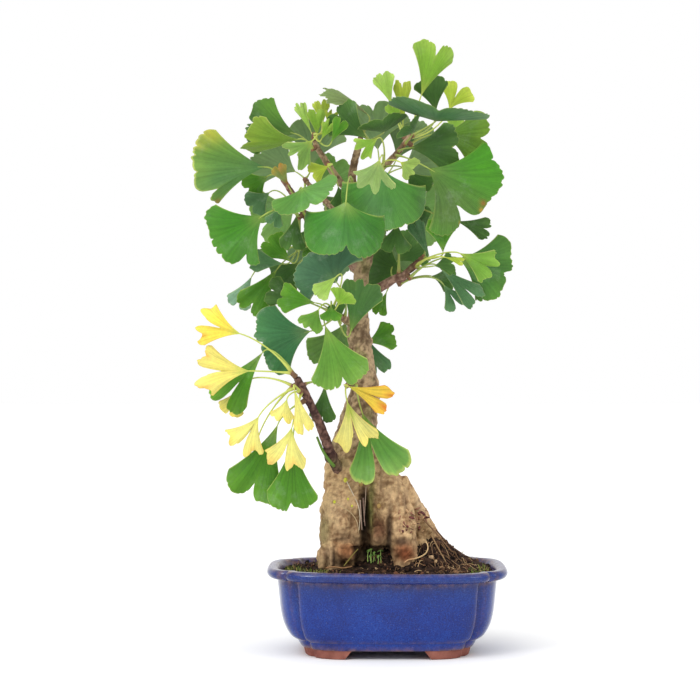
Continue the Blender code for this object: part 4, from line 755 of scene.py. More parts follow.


# name: what sets one leaf's colours apart; rim is where its pale margin begins, and spots are (across, out, width,
# colour, optional strength). The small spots at the margin are browning and yellowing, while the two broad ones on
# leaf_right_large are painted shade and painted light across its fold.
LOOKS = {
    "leaf_left_large": dict(blade=(104, 148, 58), outer=(132, 166, 72), foot=(96, 140, 84), rim=0.972, line=0.85, spots_and_painted_light=[(-0.6, 0.6, 0.5, (86, 134, 72), 0.8), (0.85, 0.95, 0.20, (188, 184, 62), 0.8), (0.5, 0.98, 0.10, (196, 190, 70), 0.6), (-0.95, 0.97, 0.05, (168, 110, 70), 0.7)]),
    "leaf_left_lower_large": dict(blade=(66, 138, 24), outer=(88, 150, 44), spots_and_painted_light=[(-0.8, 0.7, 0.35, (100, 152, 66), 0.7)]),
    # leaf_right_large: the broad darker spot over one half is painted shade and the broad bright green one over the
    # other half is painted light, across its fold; the small brown and orange spots at its margin are its own colour
    "leaf_right_large": dict(blade=(84, 134, 44), outer=(84, 150, 40), spots_and_painted_light=[(0.55, 0.6, 0.62, (94, 122, 60), 0.85), (-0.75, 0.8, 0.5, (72, 152, 20), 0.8), (0.02, 0.95, 0.045, (150, 96, 44), 0.9), (0.12, 0.98, 0.03, (196, 150, 60), 0.9), (0.5, 0.98, 0.02, (170, 130, 60), 0.7)]),
    "leaf_front_centre": dict(blade=(66, 134, 38), outer=(88, 148, 52), spots_and_painted_light=[(-0.1, 0.75, 0.35, (78, 132, 66), 0.55)]),
    "leaf_front_right": dict(blade=(84, 146, 54), outer=(98, 154, 62), foot=(92, 146, 78), spots_and_painted_light=[(0.1, 0.62, 0.28, (96, 148, 84), 0.6)]),
    "leaf_left_butterfly": dict(blade=(98, 156, 62), outer=(116, 168, 72), spots_and_painted_light=[(-0.6, 0.7, 0.5, (116, 170, 92), 0.7)]),
    "leaf_left_edge": dict(blade=(126, 164, 52), outer=(150, 178, 60)),
    "leaf_left_dark": dict(spots_and_painted_light=[(0.8, 0.75, 0.35, (98, 148, 42), 0.8)]),
    "leaf_left_variegated": dict(blade=(120, 138, 60), outer=(196, 160, 60), foot=(150, 60, 40), spots_and_painted_light=[(0.3, 0.95, 0.3, (176, 120, 52), 0.7)]),
    "leaf_young_lobed": dict(blade=(126, 166, 74), outer=(148, 182, 90)),
    "leaf_top_ribbed": dict(blade=(116, 136, 76), outer=(126, 150, 84), foot=(110, 112, 62)),
    "leaf_right_top_wide": dict(blade=(80, 126, 78), outer=(96, 140, 74)),
    "leaf_right_top_olive": dict(blade=(92, 134, 34), outer=(122, 160, 44)),
    "leaf_left_pale_behind": dict(blade=(140, 178, 146), outer=(152, 188, 156), foot=(132, 168, 124)),
    "leaf_right_light": dict(blade=(118, 166, 56), outer=(136, 180, 70)),
    "leaf_right_lower_large": dict(blade=(72, 122, 48), outer=(90, 142, 52)),
    "leaf_middle_bluish": dict(blade=(74, 118, 82), outer=(88, 134, 92)),
    "leaf_middle_left_large": dict(blade=(58, 116, 66), outer=(72, 130, 74)),
    "leaf_middle_right": dict(blade=(76, 124, 54), outer=(98, 142, 66)),
    "leaf_front_young": dict(blade=(146, 178, 96), outer=(162, 190, 112)),
    "leaf_front_small_right": dict(blade=(152, 182, 84), outer=(168, 194, 98)),
    "leaf_low_yellow_top": dict(blade=(246, 228, 92), outer=(248, 234, 112), spots_and_painted_light=[(-0.55, 0.98, 0.09, (238, 178, 62), 0.7), (0.6, 0.98, 0.08, (240, 190, 70), 0.6)]),
    "leaf_low_yellow_left": dict(blade=(240, 230, 126), outer=(244, 234, 140), spots_and_painted_light=[(-0.6, 0.98, 0.10, (238, 190, 84), 0.7), (0.6, 0.98, 0.08, (236, 180, 76), 0.7)]),
    "leaf_low_yellow_lobed": dict(foot=(222, 224, 120), spots_and_painted_light=[(-0.5, 0.97, 0.12, (240, 206, 110), 0.7), (0.5, 0.97, 0.12, (240, 200, 104), 0.7)]),
    "leaf_low_yellow_fork": dict(spots_and_painted_light=[(-0.4, 0.97, 0.14, (240, 204, 116), 0.7), (0.5, 0.97, 0.14, (238, 196, 110), 0.7)]),
    "leaf_trunk_orange": dict(blade=(240, 216, 84), outer=(240, 200, 76), spots_and_painted_light=[(0.4, 0.98, 0.16, (228, 130, 44)), (-0.4, 0.98, 0.12, (232, 150, 50))]),
    "leaf_trunk_yellow_fork": dict(spots_and_painted_light=[(0.0, 0.25, 0.2, (190, 206, 84))]),
    "leaf_trunk_green_large": dict(blade=(96, 152, 58), outer=(140, 180, 90), rim=0.96, line=0.8),
}


def leaf_origin(lf, group):
    """Where a leaf's stalk leaves the short shoot, and the shoot's own run from inside the wood."""
    if len(group) > 1:
        centre, along, radius = stem_point(group[0]["stem"], group[0]["t"])
        aim = sum(unit(at(*g["base"]) - centre) for g in group)
        aim = aim - along * float(np.dot(aim, along)) if group[0]["t"] < 0.999 else unit(aim) + along
        aim = unit(aim)
        return centre + aim * (radius + 0.0032), centre, aim, radius
    frame_ = blade_frame(lf)
    foot, mid, normal, side, size = frame_
    bend = math.radians(lf["droop"])
    out = mid * math.cos(bend / 2) + normal * math.sin(bend / 2)
    centre, along, radius = stem_point(lf["stem"], lf["t"])
    aim = foot - out * 0.4 * float(np.linalg.norm(foot - centre)) - centre
    if lf["t"] < 0.999:
        aim = aim - along * float(np.dot(aim, along)) * 0.85
    aim = unit(aim)
    return centre + aim * (radius + 0.0010), centre, aim, radius


def short_shoot(soup, origin, centre, aim, radius, thick, seed):
    """Ringed spur with a few bud scales round its tip."""
    rng = np.random.default_rng(900 + seed)
    start = centre + aim * radius * 0.4
    length = float(np.linalg.norm(origin - start)) + 0.0004
    count = 9
    pts, rad = [], []
    for i in range(count):
        f = i / (count - 1)
        pts.append(start + aim * length * f)
        rad.append(thick * (1.12 - 0.22 * f + (0.10 if i % 2 else -0.05)))
    v, f = tube_mesh(pts, rad, 12)
    soup.add(v, f, 2, linear((118, 88, 66)) * rng.uniform(0.8, 1.15))
    bv, bf = BALLS[1]
    for i in range(6):
        angle = i * 2.4 + seed
        side = unit(np.cross(aim, [0.3, 0.2, 0.9]))
        side = turned(side, aim, angle)
        c = start + aim * (length * 0.93) + side * thick * 0.62
        soup.add(bv * thick * np.array([0.42, 0.42, 0.55]) + c, bf, 2, linear((150, 104, 70)) * rng.uniform(0.75, 1.15))


def build_leaves():
    names = []
    for lf in LEAVES:
        lf.update(RESHAPED.get(lf["name"], {}))
        if lf["node"] not in names:
            names.append(lf["node"])
    for name in names:
        group = [lf for lf in LEAVES if lf["node"] == name]
        soup = Soup()
        for i, lf in enumerate(group):
            frame_ = blade_frame(lf)
            size = frame_[4]
            v, f, tint, data = blade_mesh(lf, frame_)
            soup.add(v, f, 0, tint, data)
            origin, centre, aim, radius = leaf_origin(lf, group)
            thick = 0.0019 if len(group) > 1 else 0.0015
            if i == 0:
                short_shoot(soup, origin, centre, aim, radius, thick, lf["seed"])
            pts = np.array(petiole_points(lf, frame_, 15, origin - aim * 0.0006))
            n = len(pts)
            f_ = np.linspace(0, 1, n)
            r = 0.00105 * (1 - f_) ** 6 + 0.00062 * (1 - f_) + 0.00050 * f_
            r[-1] = 0.0002
            r[-2] = 0.00046
            v, f = tube_mesh(pts, r, 8)
            stalk = mixed(linear((176, 184, 88)), linear(TONES[lf["tone"]][0]), 0.45)
            at_foot = linear((150, 120, 80))
            along = np.concatenate([np.repeat(f_, 8), [0.0, 1.0]])
            soup.add(v, f, 1, mixed(at_foot, stalk, smooth(0.0, 0.10, along)))
        slot = SLOT[group[0]["tone"]]
        # a shoot whose leaves differ in tone takes the blade finish of its first leaf
        ob = soup.build(name + "_look", [LEAF_MATS[slot], STALK, BUD])
        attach(ob, "root")
        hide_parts(name)


# ---------------------------------------------------------------- wood
# small features of the base: (u, v, depth, half sizes in mm across, deep, high)
KNOBS = [
    (347, 551, -18, 10.0, 9.5, 9.5), (403, 544, -20, 9.0, 8.5, 13), (326, 556, -15, 6.5, 8, 9), (378, 536, -12, 7.5, 7, 8),
    (352, 500, -13, 13, 11, 17), (338, 522, -14, 12, 11, 14), (334, 486, -9, 8, 8, 12), (366, 478, -16, 6, 5, 7),
    (384, 476, -10, 9, 10, 14), (391, 505, -15, 10, 9, 12), (414, 522, 2, 6, 8, 9), (420, 540, 0, 6, 8, 9),
    (346, 468, -10, 12, 10, 9), (371, 394, -3, 7.5, 8, 6), (362, 372, 0, 8.6, 9, 5), (362, 341, 0, 8.2, 8.6, 5),
    (365, 250, 0, 6.9, 6.8, 5), (353, 195, 2, 6.2, 6, 5), (361, 300, 0, 7.2, 7.0, 4), (331, 457, -26, 5.2, 5.2, 5),
    (401, 278, -10, 4.4, 4.2, 3.6), (356, 266, -1, 5.6, 5.6, 5),
]
# name: a margin drawn more exactly than the body of the leaf
RESHAPED = {
    "leaf_low_yellow_top": dict(notch=0.38, spread=34, lobes=0.2),
    "leaf_low_yellow_left": dict(notch=0.26, spread=34, lobes=0.22),
    "leaf_low_yellow_lobed": dict(notch=0.34, spread=38, lobes=0.22),
    "leaf_low_yellow_fork": dict(notch=0.5, spread=37, lobes=0.18),
    "leaf_low_square": dict(spread=38, lobes=0.15),
    "leaf_trunk_yellow_fork": dict(notch=0.5, spread=33, lobes=0.15),
    "leaf_low_green_hanging_left": dict(spread=26),
    "leaf_low_green_hanging_right": dict(spread=26, notch=0.1),
    "leaf_top_right_centre": dict(spread=38),
}

EXTRA_ROOTS = [  # short surface roots: (u, v, depth, radius in mm)
    [(331, 541, -22, 2.4), (331.5, 552, -25, 2.1), (332, 566, -26, 1.6)],
    [(326, 545, -19, 3.6), (323, 556, -22, 3.2), (321, 568, -22, 2.6)],
    [(402, 478, -6, 4.2), (411, 496, -4, 4.8), (422, 517, -2, 4.6), (433, 536, 2, 3.2)],
    [(392, 470, -14, 4.2), (388, 492, -18, 4.4), (386, 508, -18, 3.2)],
]
# Patches on the front of the wood: moss, orange and tan bark, and painted shade. The painted shade is the near-black
# hollow and arch, and the dark bands and lines down the clefts, creases and round the left roots.
MARKS_AND_PAINTED_SHADE = [  # patches on the front of the wood: (u, v, half width, half height, strength, colour)
    (324, 531, 6, 16, 0.5, (128, 128, 80)), (373, 486, 4, 12, 0.5, (112, 114, 62)), (341, 464, 12, 6, 0.4, (118, 116, 76)),
    (347, 551, 11, 10, 0.92, (158, 104, 66)), (404, 551, 11, 9, 0.92, (160, 96, 62)), (401, 541, 8, 4, 0.5, (82, 58, 44)),
    # painted shade: the near-black hollow between the legs and the near-black arch under it
    (379, 527, 8, 11, 0.75, (120, 80, 54)), (364.5, 518, 5.5, 32, 1.0, (20, 13, 12)), (372, 556, 15, 9, 1.0, (26, 18, 14)),
    # painted shade: the thin dark band along the crease across the left leg
    (344, 539.5, 14, 2.4, 0.6, (74, 56, 42)), (337, 508, 12, 18, 0.35, (192, 166, 130)), (385, 492, 9, 14, 0.3, (180, 152, 118)),
    (420, 505, 7, 14, 0.4, (190, 166, 136)), (398, 528, 6, 8, 0.5, (190, 158, 120)), (352, 483, 10, 8, 0.2, (130, 108, 80)),
    (382, 458, 5, 14, 0.45, (104, 80, 64)), (327, 555, 6, 9, 0.4, (150, 128, 104)), (405, 502, 3, 14, 0.5, (84, 62, 48)),
    # painted shade: the dark line down the cleft between the middle and right legs; the green strip beside the hollow
    # is moss darkened with painted shade
    (379, 531, 10, 13, 0.75, (104, 68, 48)), (389.5, 538, 2.6, 24, 0.85, (44, 31, 24)), (371, 508, 3.2, 26, 0.75, (100, 108, 50)),
    # painted shade: the dark patch under the hollow, the dark band across the left leg, and the dark lines and patch
    # round the left roots
    (357, 554, 4, 15, 0.85, (46, 33, 26)), (346, 536, 12, 4, 0.5, (98, 74, 54)), (333.5, 561, 1.6, 12, 0.8, (58, 42, 34)), (341, 565, 8, 7, 0.6, (78, 56, 42)),
    (402, 541.5, 8, 4, 0.7, (66, 45, 36)), (406, 556, 6, 6, 0.7, (186, 108, 70)), (352, 500, 4, 24, 0.35, (120, 96, 66)), (398, 496, 2, 22, 0.4, (104, 80, 60)),
    # painted shade: the dark line down the upper part of the cleft between the middle and right legs
    (363, 478, 4, 3, 0.4, (186, 168, 100)), (381, 478, 2, 10, 0.35, (84, 62, 48)), (390, 516, 3, 22, 0.45, (70, 50, 40)),
]


def run_of(raw, per=6):
    p = np.array([[*at(u, v, d), r * 0.001] for u, v, d, r in raw])
    return rounded(p, per)


def build_wood():
    runs = {name: run_of(raw, 7) for name, raw in {**TRUNK, **STEMS}.items()}
    extra = [run_of(raw, 6) for raw in EXTRA_ROOTS]
    verts, faces, n = [], [], 0
    for run in list(runs.values()) + extra:
        v, f = tube_mesh(run[:, :3], run[:, 3], 20)
        verts.append(v)
        faces += [tuple(i + n for i in q) for q in f]
        n += len(v)
    bv, bf = BALLS[3]
    for u, v_, d, a, b, c in KNOBS:
        v = bv * np.array([a, b, c]) * 0.001 + at(u, v_, d)
        verts.append(v)
        faces += [tuple(i + n for i in q) for q in bf]
        n += len(v)
    mesh = bpy.data.meshes.new("wood_source")
    mesh.from_pydata(np.concatenate(verts).tolist(), [], faces)
    ob = bpy.data.objects.new("wood_source", mesh)
    bpy.context.scene.collection.objects.link(ob)
    mod = ob.modifiers.new("skin", "REMESH")
    mod.mode = "VOXEL"
    mod.voxel_size = 0.00112
    deps = bpy.context.evaluated_depsgraph_get()
    skin = bpy.data.meshes.new_from_object(ob.evaluated_get(deps))
    bpy.data.objects.remove(ob, do_unlink=True)
    count = len(skin.vertices)
    co = np.empty(count * 3)
    skin.vertices.foreach_get("co", co)
    co = co.reshape(-1, 3)
    # even out the steps of the voxel skin
    edges = np.empty(len(skin.edges) * 2, np.int64)
    skin.edges.foreach_get("vertices", edges)
    edges = edges.reshape(-1, 2)
    degree = np.bincount(edges.ravel(), minlength=count)[:, None]

    def averaged(values):
        total = np.zeros_like(values)
        np.add.at(total, edges[:, 0], values[edges[:, 1]])
        np.add.at(total, edges[:, 1], values[edges[:, 0]])
        return total / degree

    for factor in (0.5, -0.52, 0.5, -0.52, 0.4):
        co = co + (averaged(co) - co) * factor
    skin.vertices.foreach_set("co", co.ravel())
    skin.update()
    nor = np.empty(count * 3)
    skin.vertex_normals.foreach_get("vector", nor)
    nor = nor.reshape(-1, 3)
    # which limb each vertex belongs to
    names = list(runs) + ["extra"] * len(extra)
    centres = np.concatenate([r[:, :3] for r in list(runs.values()) + extra])
    radii = np.concatenate([r[:, 3] for r in list(runs.values()) + extra])
    owner = np.concatenate([[i] * len(r) for i, r in enumerate(list(runs.values()) + extra)])
    limb_of, size_of = np.empty(count, int), np.empty(count)
    for i in range(0, count, 4000):
        d = np.linalg.norm(co[i:i + 4000, None] - centres[None], axis=2) - radii
        k = d.argmin(axis=1)
        limb_of[i:i + 4000] = owner[k]
        size_of[i:i + 4000] = radii[k]
    names = np.array(names)[limb_of]
    thick = smooth(0.003, 0.010, size_of)
    u, v = grid_of(co)
    lumps = fbm(co, 95, 3, 1)
    fine = fbm(co, 420, 3, 2)
    streaks = fbm(co * np.array([1.0, 1.0, 0.25]), 520, 2, 3)
    rings = np.sin(co[:, 2] * 900 + 6 * lumps)
    co = co + nor * (lumps * 0.0015 * thick + fine * (0.00022 + 0.00026 * thick) + streaks * (0.00018 + 0.00025 * thick) + rings * 0.00012 * (1 - thick))[:, None]
    front = smooth(0.002, -0.006, co[:, 1])
    hollow = np.exp(-((u - 364.5 - 0.06 * (v - 516)) / 4.6) ** 4) * smooth(484, 500, v) * smooth(556, 545, v) * front
    co[:, 1] += hollow * 0.015
    arch = smooth(350, 354, u - 0.10 * (v - 540)) * smooth(392, 387, u - 0.10 * (v - 540)) * smooth(545, 549, v) * front
    co[:, 1] += arch * 0.013
    cleft = np.exp(-((u - 389.5) / 2.6) ** 2) * smooth(512, 524, v) * smooth(570, 556, v) * front
    co[:, 1] += cleft * 0.006
    waist = np.exp(-((v - 541.5) / 2.4) ** 2) * smooth(331, 336, u) * smooth(362, 357, u) * front
    co += nor * (-0.0016 * waist)[:, None]
    skin.vertices.foreach_set("co", (co + SHIFT).ravel())
    # colours
    tan, brown, moss = linear((196, 164, 122)), linear((148, 112, 78)), linear((128, 128, 76))
    t = np.clip(0.52 + 0.42 * lumps + 0.38 * fine, 0, 1)
    colour = mixed(brown, tan, smooth(0.1, 0.75, t))
    upper = mixed(linear((112, 90, 68)), linear((162, 140, 110)), smooth(0.2, 0.8, t))
    colour = mixed(colour, upper, smooth(470, 440, v) * (1 - 0.2 * t))
    red = np.isin(names, ("left_branch", "right_branch"))
    colour = mixed(colour, mixed(linear((112, 78, 68)), linear((156, 124, 108)), smooth(0.3, 0.8, t)), red * 0.85)
    dark = names == "basal_shoot"
    colour = mixed(colour, mixed(linear((62, 38, 40)), linear((112, 80, 74)), smooth(0.3, 0.85, t)), dark * 0.9)
    mossy = smooth(0.12, 0.45, fbm(co, 60, 3, 5)) * (0.45 - 0.33 * smooth(450, 475, v)) * (1 - 0.5 * red) * (1 - dark)
    colour = mixed(colour, moss, mossy * smooth(150, 260, v))
    facing = smooth(0.3, -0.3, nor[:, 1])
    # lay the patches on the front-facing wood, with the painted shade of the hollow, arch and clefts among them
    for mu, mv, wide, tall, strength, rgb in MARKS_AND_PAINTED_SHADE:
        e = ((u - mu) / wide) ** 2 + ((v - mv) / tall) ** 2
        colour = mixed(colour, linear(rgb) * (0.9 + 0.35 * fine[:, None]), strength * np.exp(-e ** 1.5) * facing)
    low = smooth(455, 480, v)
    colour = colour * (0.80 + 0.08 * low + (0.30 - 0.12 * low) * smooth(-0.5, 0.4, fine + 0.6 * lumps) - 0.10 * smooth(0.1, 0.5, -streaks))[:, None]
    # darker towards the foot of the trunk: painted shade near the soil
    colour = colour * (1 - 0.16 * smooth(515, 560, v))[:, None]
    tint = np.ones((count, 4))
    tint[:, :3] = np.clip(colour, 0.004, 1)
    skin.attributes.new("tint", "FLOAT_COLOR", "POINT").data.foreach_set("color", tint.ravel())
    skin.materials.clear()
    skin.materials.append(BARK)
    skin.shade_smooth()
    skin.update()
    wood = bpy.data.objects.new("trunk_look", skin)
    bpy.context.scene.collection.objects.link(wood)
    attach(wood, "root")
    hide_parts("trunk")
    print("wood", count, "vertices")
    return co


# ---------------------------------------------------------------- pot
CORNER = math.atan2(0.766 * 0.0675, 0.86 * 0.0900)  # angle of the four creases, seen from above


def outline(half_width, half_deep, crease, angles):
    """Quatrefoil outline: a rounded oblong with a narrow valley between swelling lobes at each corner."""
    c, s = np.cos(angles), np.sin(angles)
    r = ((np.abs(c) / half_width) ** 4 + (np.abs(s) / half_deep) ** 4) ** -0.25
    q = np.abs(np.arctan2(np.abs(s), np.abs(c)) - CORNER)
    r = r * (1 - crease * (0.62 * np.exp(-q / 0.15) + 0.48 * np.exp(-(q / 0.030) ** 1.3)))
    return r * c, r * s, q


def half_depth(half_width):
    lip = min(0.09 - half_width, 0.0078)
    return 0.0675 - lip - 0.35 * (0.09 - half_width - lip)


# height, half width, crease, how much the glaze breaks brown there
OUTSIDE = [
    (0.0062, 0.0620, 0.05, 0.7), (0.0064, 0.0640, 0.05, 0.9), (0.0076, 0.0652, 0.055, 0.45), (0.0104, 0.0668, 0.06, 0.05), (0.0116, 0.0676, 0.06, 0.05), (0.0122, 0.0692, 0.065, 0.25),
    (0.0150, 0.0730, 0.07, 0), (0.0215, 0.0768, 0.075, 0), (0.0270, 0.0786, 0.075, 0), (0.0330, 0.0798, 0.075, 0), (0.0400, 0.0806, 0.075, 0),
    (0.0460, 0.0812, 0.075, 0), (0.0520, 0.0818, 0.072, 0.1), (0.0556, 0.0824, 0.07, 0.55), (0.0562, 0.0840, 0.066, 0.35), (0.0569, 0.0872, 0.062, 0.15),
    (0.0582, 0.0890, 0.06, 0.1), (0.0600, 0.0899, 0.06, 0.05), (0.0616, 0.0897, 0.06, 0.1), (0.0631, 0.0888, 0.06, 0.35), (0.0639, 0.0876, 0.06, 0.55), (0.0640, 0.0858, 0.06, 0.5),
]
INSIDE = [(0.0639, 0.0838, 0.06, 0.65), (0.0632, 0.0822, 0.062, 0.9), (0.0616, 0.0810, 0.064, 0.8), (0.0585, 0.0796, 0.066, 0.6), (0.0460, 0.0757, 0.07, 0.6), (0.0215, 0.0712, 0.07, 0.6), (0.0125, 0.0660, 0.07, 0.6)]


def loft_mesh(rings):
    """Rings of equal count joined in order, with a fan at each end."""
    n = len(rings[0])
    verts = np.concatenate(rings + [rings[0].mean(axis=0)[None], rings[-1].mean(axis=0)[None]])
    faces = []
    for i in range(len(rings) - 1):
        for j in range(n):
            k = (j + 1) % n
            faces.append((i * n + j, i * n + k, (i + 1) * n + k, (i + 1) * n + j))
    c0, c1, last = len(verts) - 2, len(verts) - 1, (len(rings) - 1) * n
    for j in range(n):
        k = (j + 1) % n
        faces.append((c0, k, j))
        faces.append((c1, last + j, last + k))
    return verts, faces


def pot_angles(count):
    """Angles crowded towards the four creases."""
    half = count // 8
    t = np.arange(half) / half
    q = np.concatenate([CORNER * (1 - (1 - t) ** 1.7), CORNER + (math.pi / 2 - CORNER) * t ** 1.7, [math.pi / 2]])
    every = np.concatenate([q, math.pi - q, math.pi + q, 2 * math.pi - q]) % (2 * math.pi)
    return np.unique(np.round(every, 9))


def cut(ob, cutters):
    for c in cutters:
        mod = ob.modifiers.new("cut", "BOOLEAN")
        mod.operation = "DIFFERENCE"
        mod.solver = "EXACT"
        mod.object = c
    bpy.context.view_layer.update()
    deps = bpy.context.evaluated_depsgraph_get()
    mesh = bpy.data.meshes.new_from_object(ob.evaluated_get(deps))
    ob.modifiers.clear()
    ob.data = mesh
    for c in cutters:
        bpy.data.objects.remove(c, do_unlink=True)
    return ob


def solid(name, verts, faces):
    mesh = bpy.data.meshes.new(name)
    mesh.from_pydata((np.asarray(verts) + SHIFT).tolist(), [], faces)
    ob = bpy.data.objects.new(name, mesh)
    bpy.context.scene.collection.objects.link(ob)
    return ob


def build_pot():
    angles = pot_angles(304)
    rings, info = [], []

    def add(z, w, crease, wear, inside):
        deep = half_depth(w + inside) - inside
        x, y, q = outline(w, deep, crease, angles)
        sag = 0.0005 * np.sin(2 * angles + 0.6) * (z / 0.064)  # no hand-made rim is quite level
        rings.append(np.stack([x, y, np.full(len(x), z) + (sag if z > 0.02 else 0)], axis=1))
        ridge = np.exp(-((q - 0.050) / 0.022) ** 2) * 0.75 + np.exp(-(q / 0.012) ** 2) * 0.55
        info.append((np.full(len(x), z / 0.064), np.clip(wear + ridge * (0.35 if 0.055 > z > 0.008 else 0.6), 0, 1)))

    outside = rounded([o for o in OUTSIDE], 3)
    for z, w, crease, wear in outside:
        add(max(z, 0.0062), min(w, 0.0900), crease, max(wear, 0), 0.0)
    for z, w, crease, wear in rounded(INSIDE, 2):
        add(z, w, crease, wear, 0.0055 * min(1.0, max(0.0, (0.0640 - z) / 0.004)))
    verts, faces = loft_mesh(rings)
    data = np.zeros((len(verts), 3))
    data[:len(verts) - 2, 0] = np.concatenate([i[0] for i in info])
    data[:len(verts) - 2, 1] = np.concatenate([i[1] for i in info])
    data[-2:, 1] = 0.8
    soup = Soup()
    soup.add(verts, faces, 0, (0.1, 0.2, 0.5), data)
    pot = soup.build("pot_look", [GLAZE])
    drains = []
    for side in (-1, 1):
        a = np.arange(40) * 2 * math.pi / 40
        ring_ = lambda z, r: np.stack([side * 0.042 + r * np.cos(a), r * np.sin(a), np.full(40, z)], axis=1)
        drains.append(solid("drain", *loft_mesh([ring_(-0.01, 0.006), ring_(0.03, 0.006)])))
    cut(pot, drains)
    pot.data.shade_smooth()
    pot.data.set_sharp_from_angle(angle=math.radians(50))
    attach(pot, "root")
    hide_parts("pot")
    # unglazed corner feet
    feet_angles = pot_angles(120)
    rows = []
    for z, w in ((0.0, 0.0606), (0.0005, 0.0614), (0.0034, 0.0622), (0.0066, 0.0630)):
        x, y, q = outline(w, half_depth(w), 0.05, feet_angles)
        rows.append(np.stack([x, y, np.full(len(x), z)], axis=1))
    feet = solid("pot_feet", *loft_mesh(rows))
    x, y, q = outline(0.0470, half_depth(0.0606) - 0.0136, 0.05, feet_angles)
    hollow = solid("hollow", *loft_mesh([np.stack([x, y, np.full(len(x), z)], axis=1) for z in (-0.002, 0.009)]))

    def wedge(x0, x1, y0, y1, z0, z1, lean_x, lean_y):
        v = [(x0 - lean_x, y0 - lean_y, z0), (x1 + lean_x, y0 - lean_y, z0), (x1 + lean_x, y1 + lean_y, z0), (x0 - lean_x, y1 + lean_y, z0), (x0, y0, z1), (x1, y0, z1), (x1, y1, z1), (x0, y1, z1)]
        return solid("gap", v, [(0, 3, 2, 1), (4, 5, 6, 7), (0, 1, 5, 4), (1, 2, 6, 5), (2, 3, 7, 6), (3, 0, 4, 7)])

    gaps = [wedge(-0.0252, 0.0252, -0.09, 0.09, -0.002, 0.0080, 0.0080, 0), wedge(-0.12, 0.12, -0.0150, 0.0150, -0.002, 0.0080, 0, 0.0060)]
    cut(feet, [hollow] + gaps)
    mesh = feet.data
    co = np.empty(len(mesh.vertices) * 3)
    mesh.vertices.foreach_get("co", co)
    co = co.reshape(-1, 3)
    shade = fbm(co, 160, 3, 9)
    tint = np.ones((len(co), 4))
    tint[:, :3] = mixed(linear((122, 72, 62)), linear((152, 98, 84)), smooth(-0.4, 0.5, shade))
    mesh.attributes.new("tint", "FLOAT_COLOR", "POINT").data.foreach_set("color", tint.ravel())
    mesh.materials.clear()
    mesh.materials.append(TERRACOTTA)
    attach(feet, "root")


# ---------------------------------------------------------------- soil
def soil_height(x, y):
    h = 0.0595 + 0.0335 * np.exp(-(((x - 0.024) / 0.027) ** 2 + ((y - 0.012) / 0.026) ** 2))
    h = h + 0.0050 * np.exp(-(((x + 0.020) / 0.040) ** 2 + ((y - 0.006) / 0.040) ** 2))
    h = h + 0.0030 * np.exp(-(((x - 0.062) / 0.022) ** 2 + ((y - 0.010) / 0.030) ** 2))
    return h


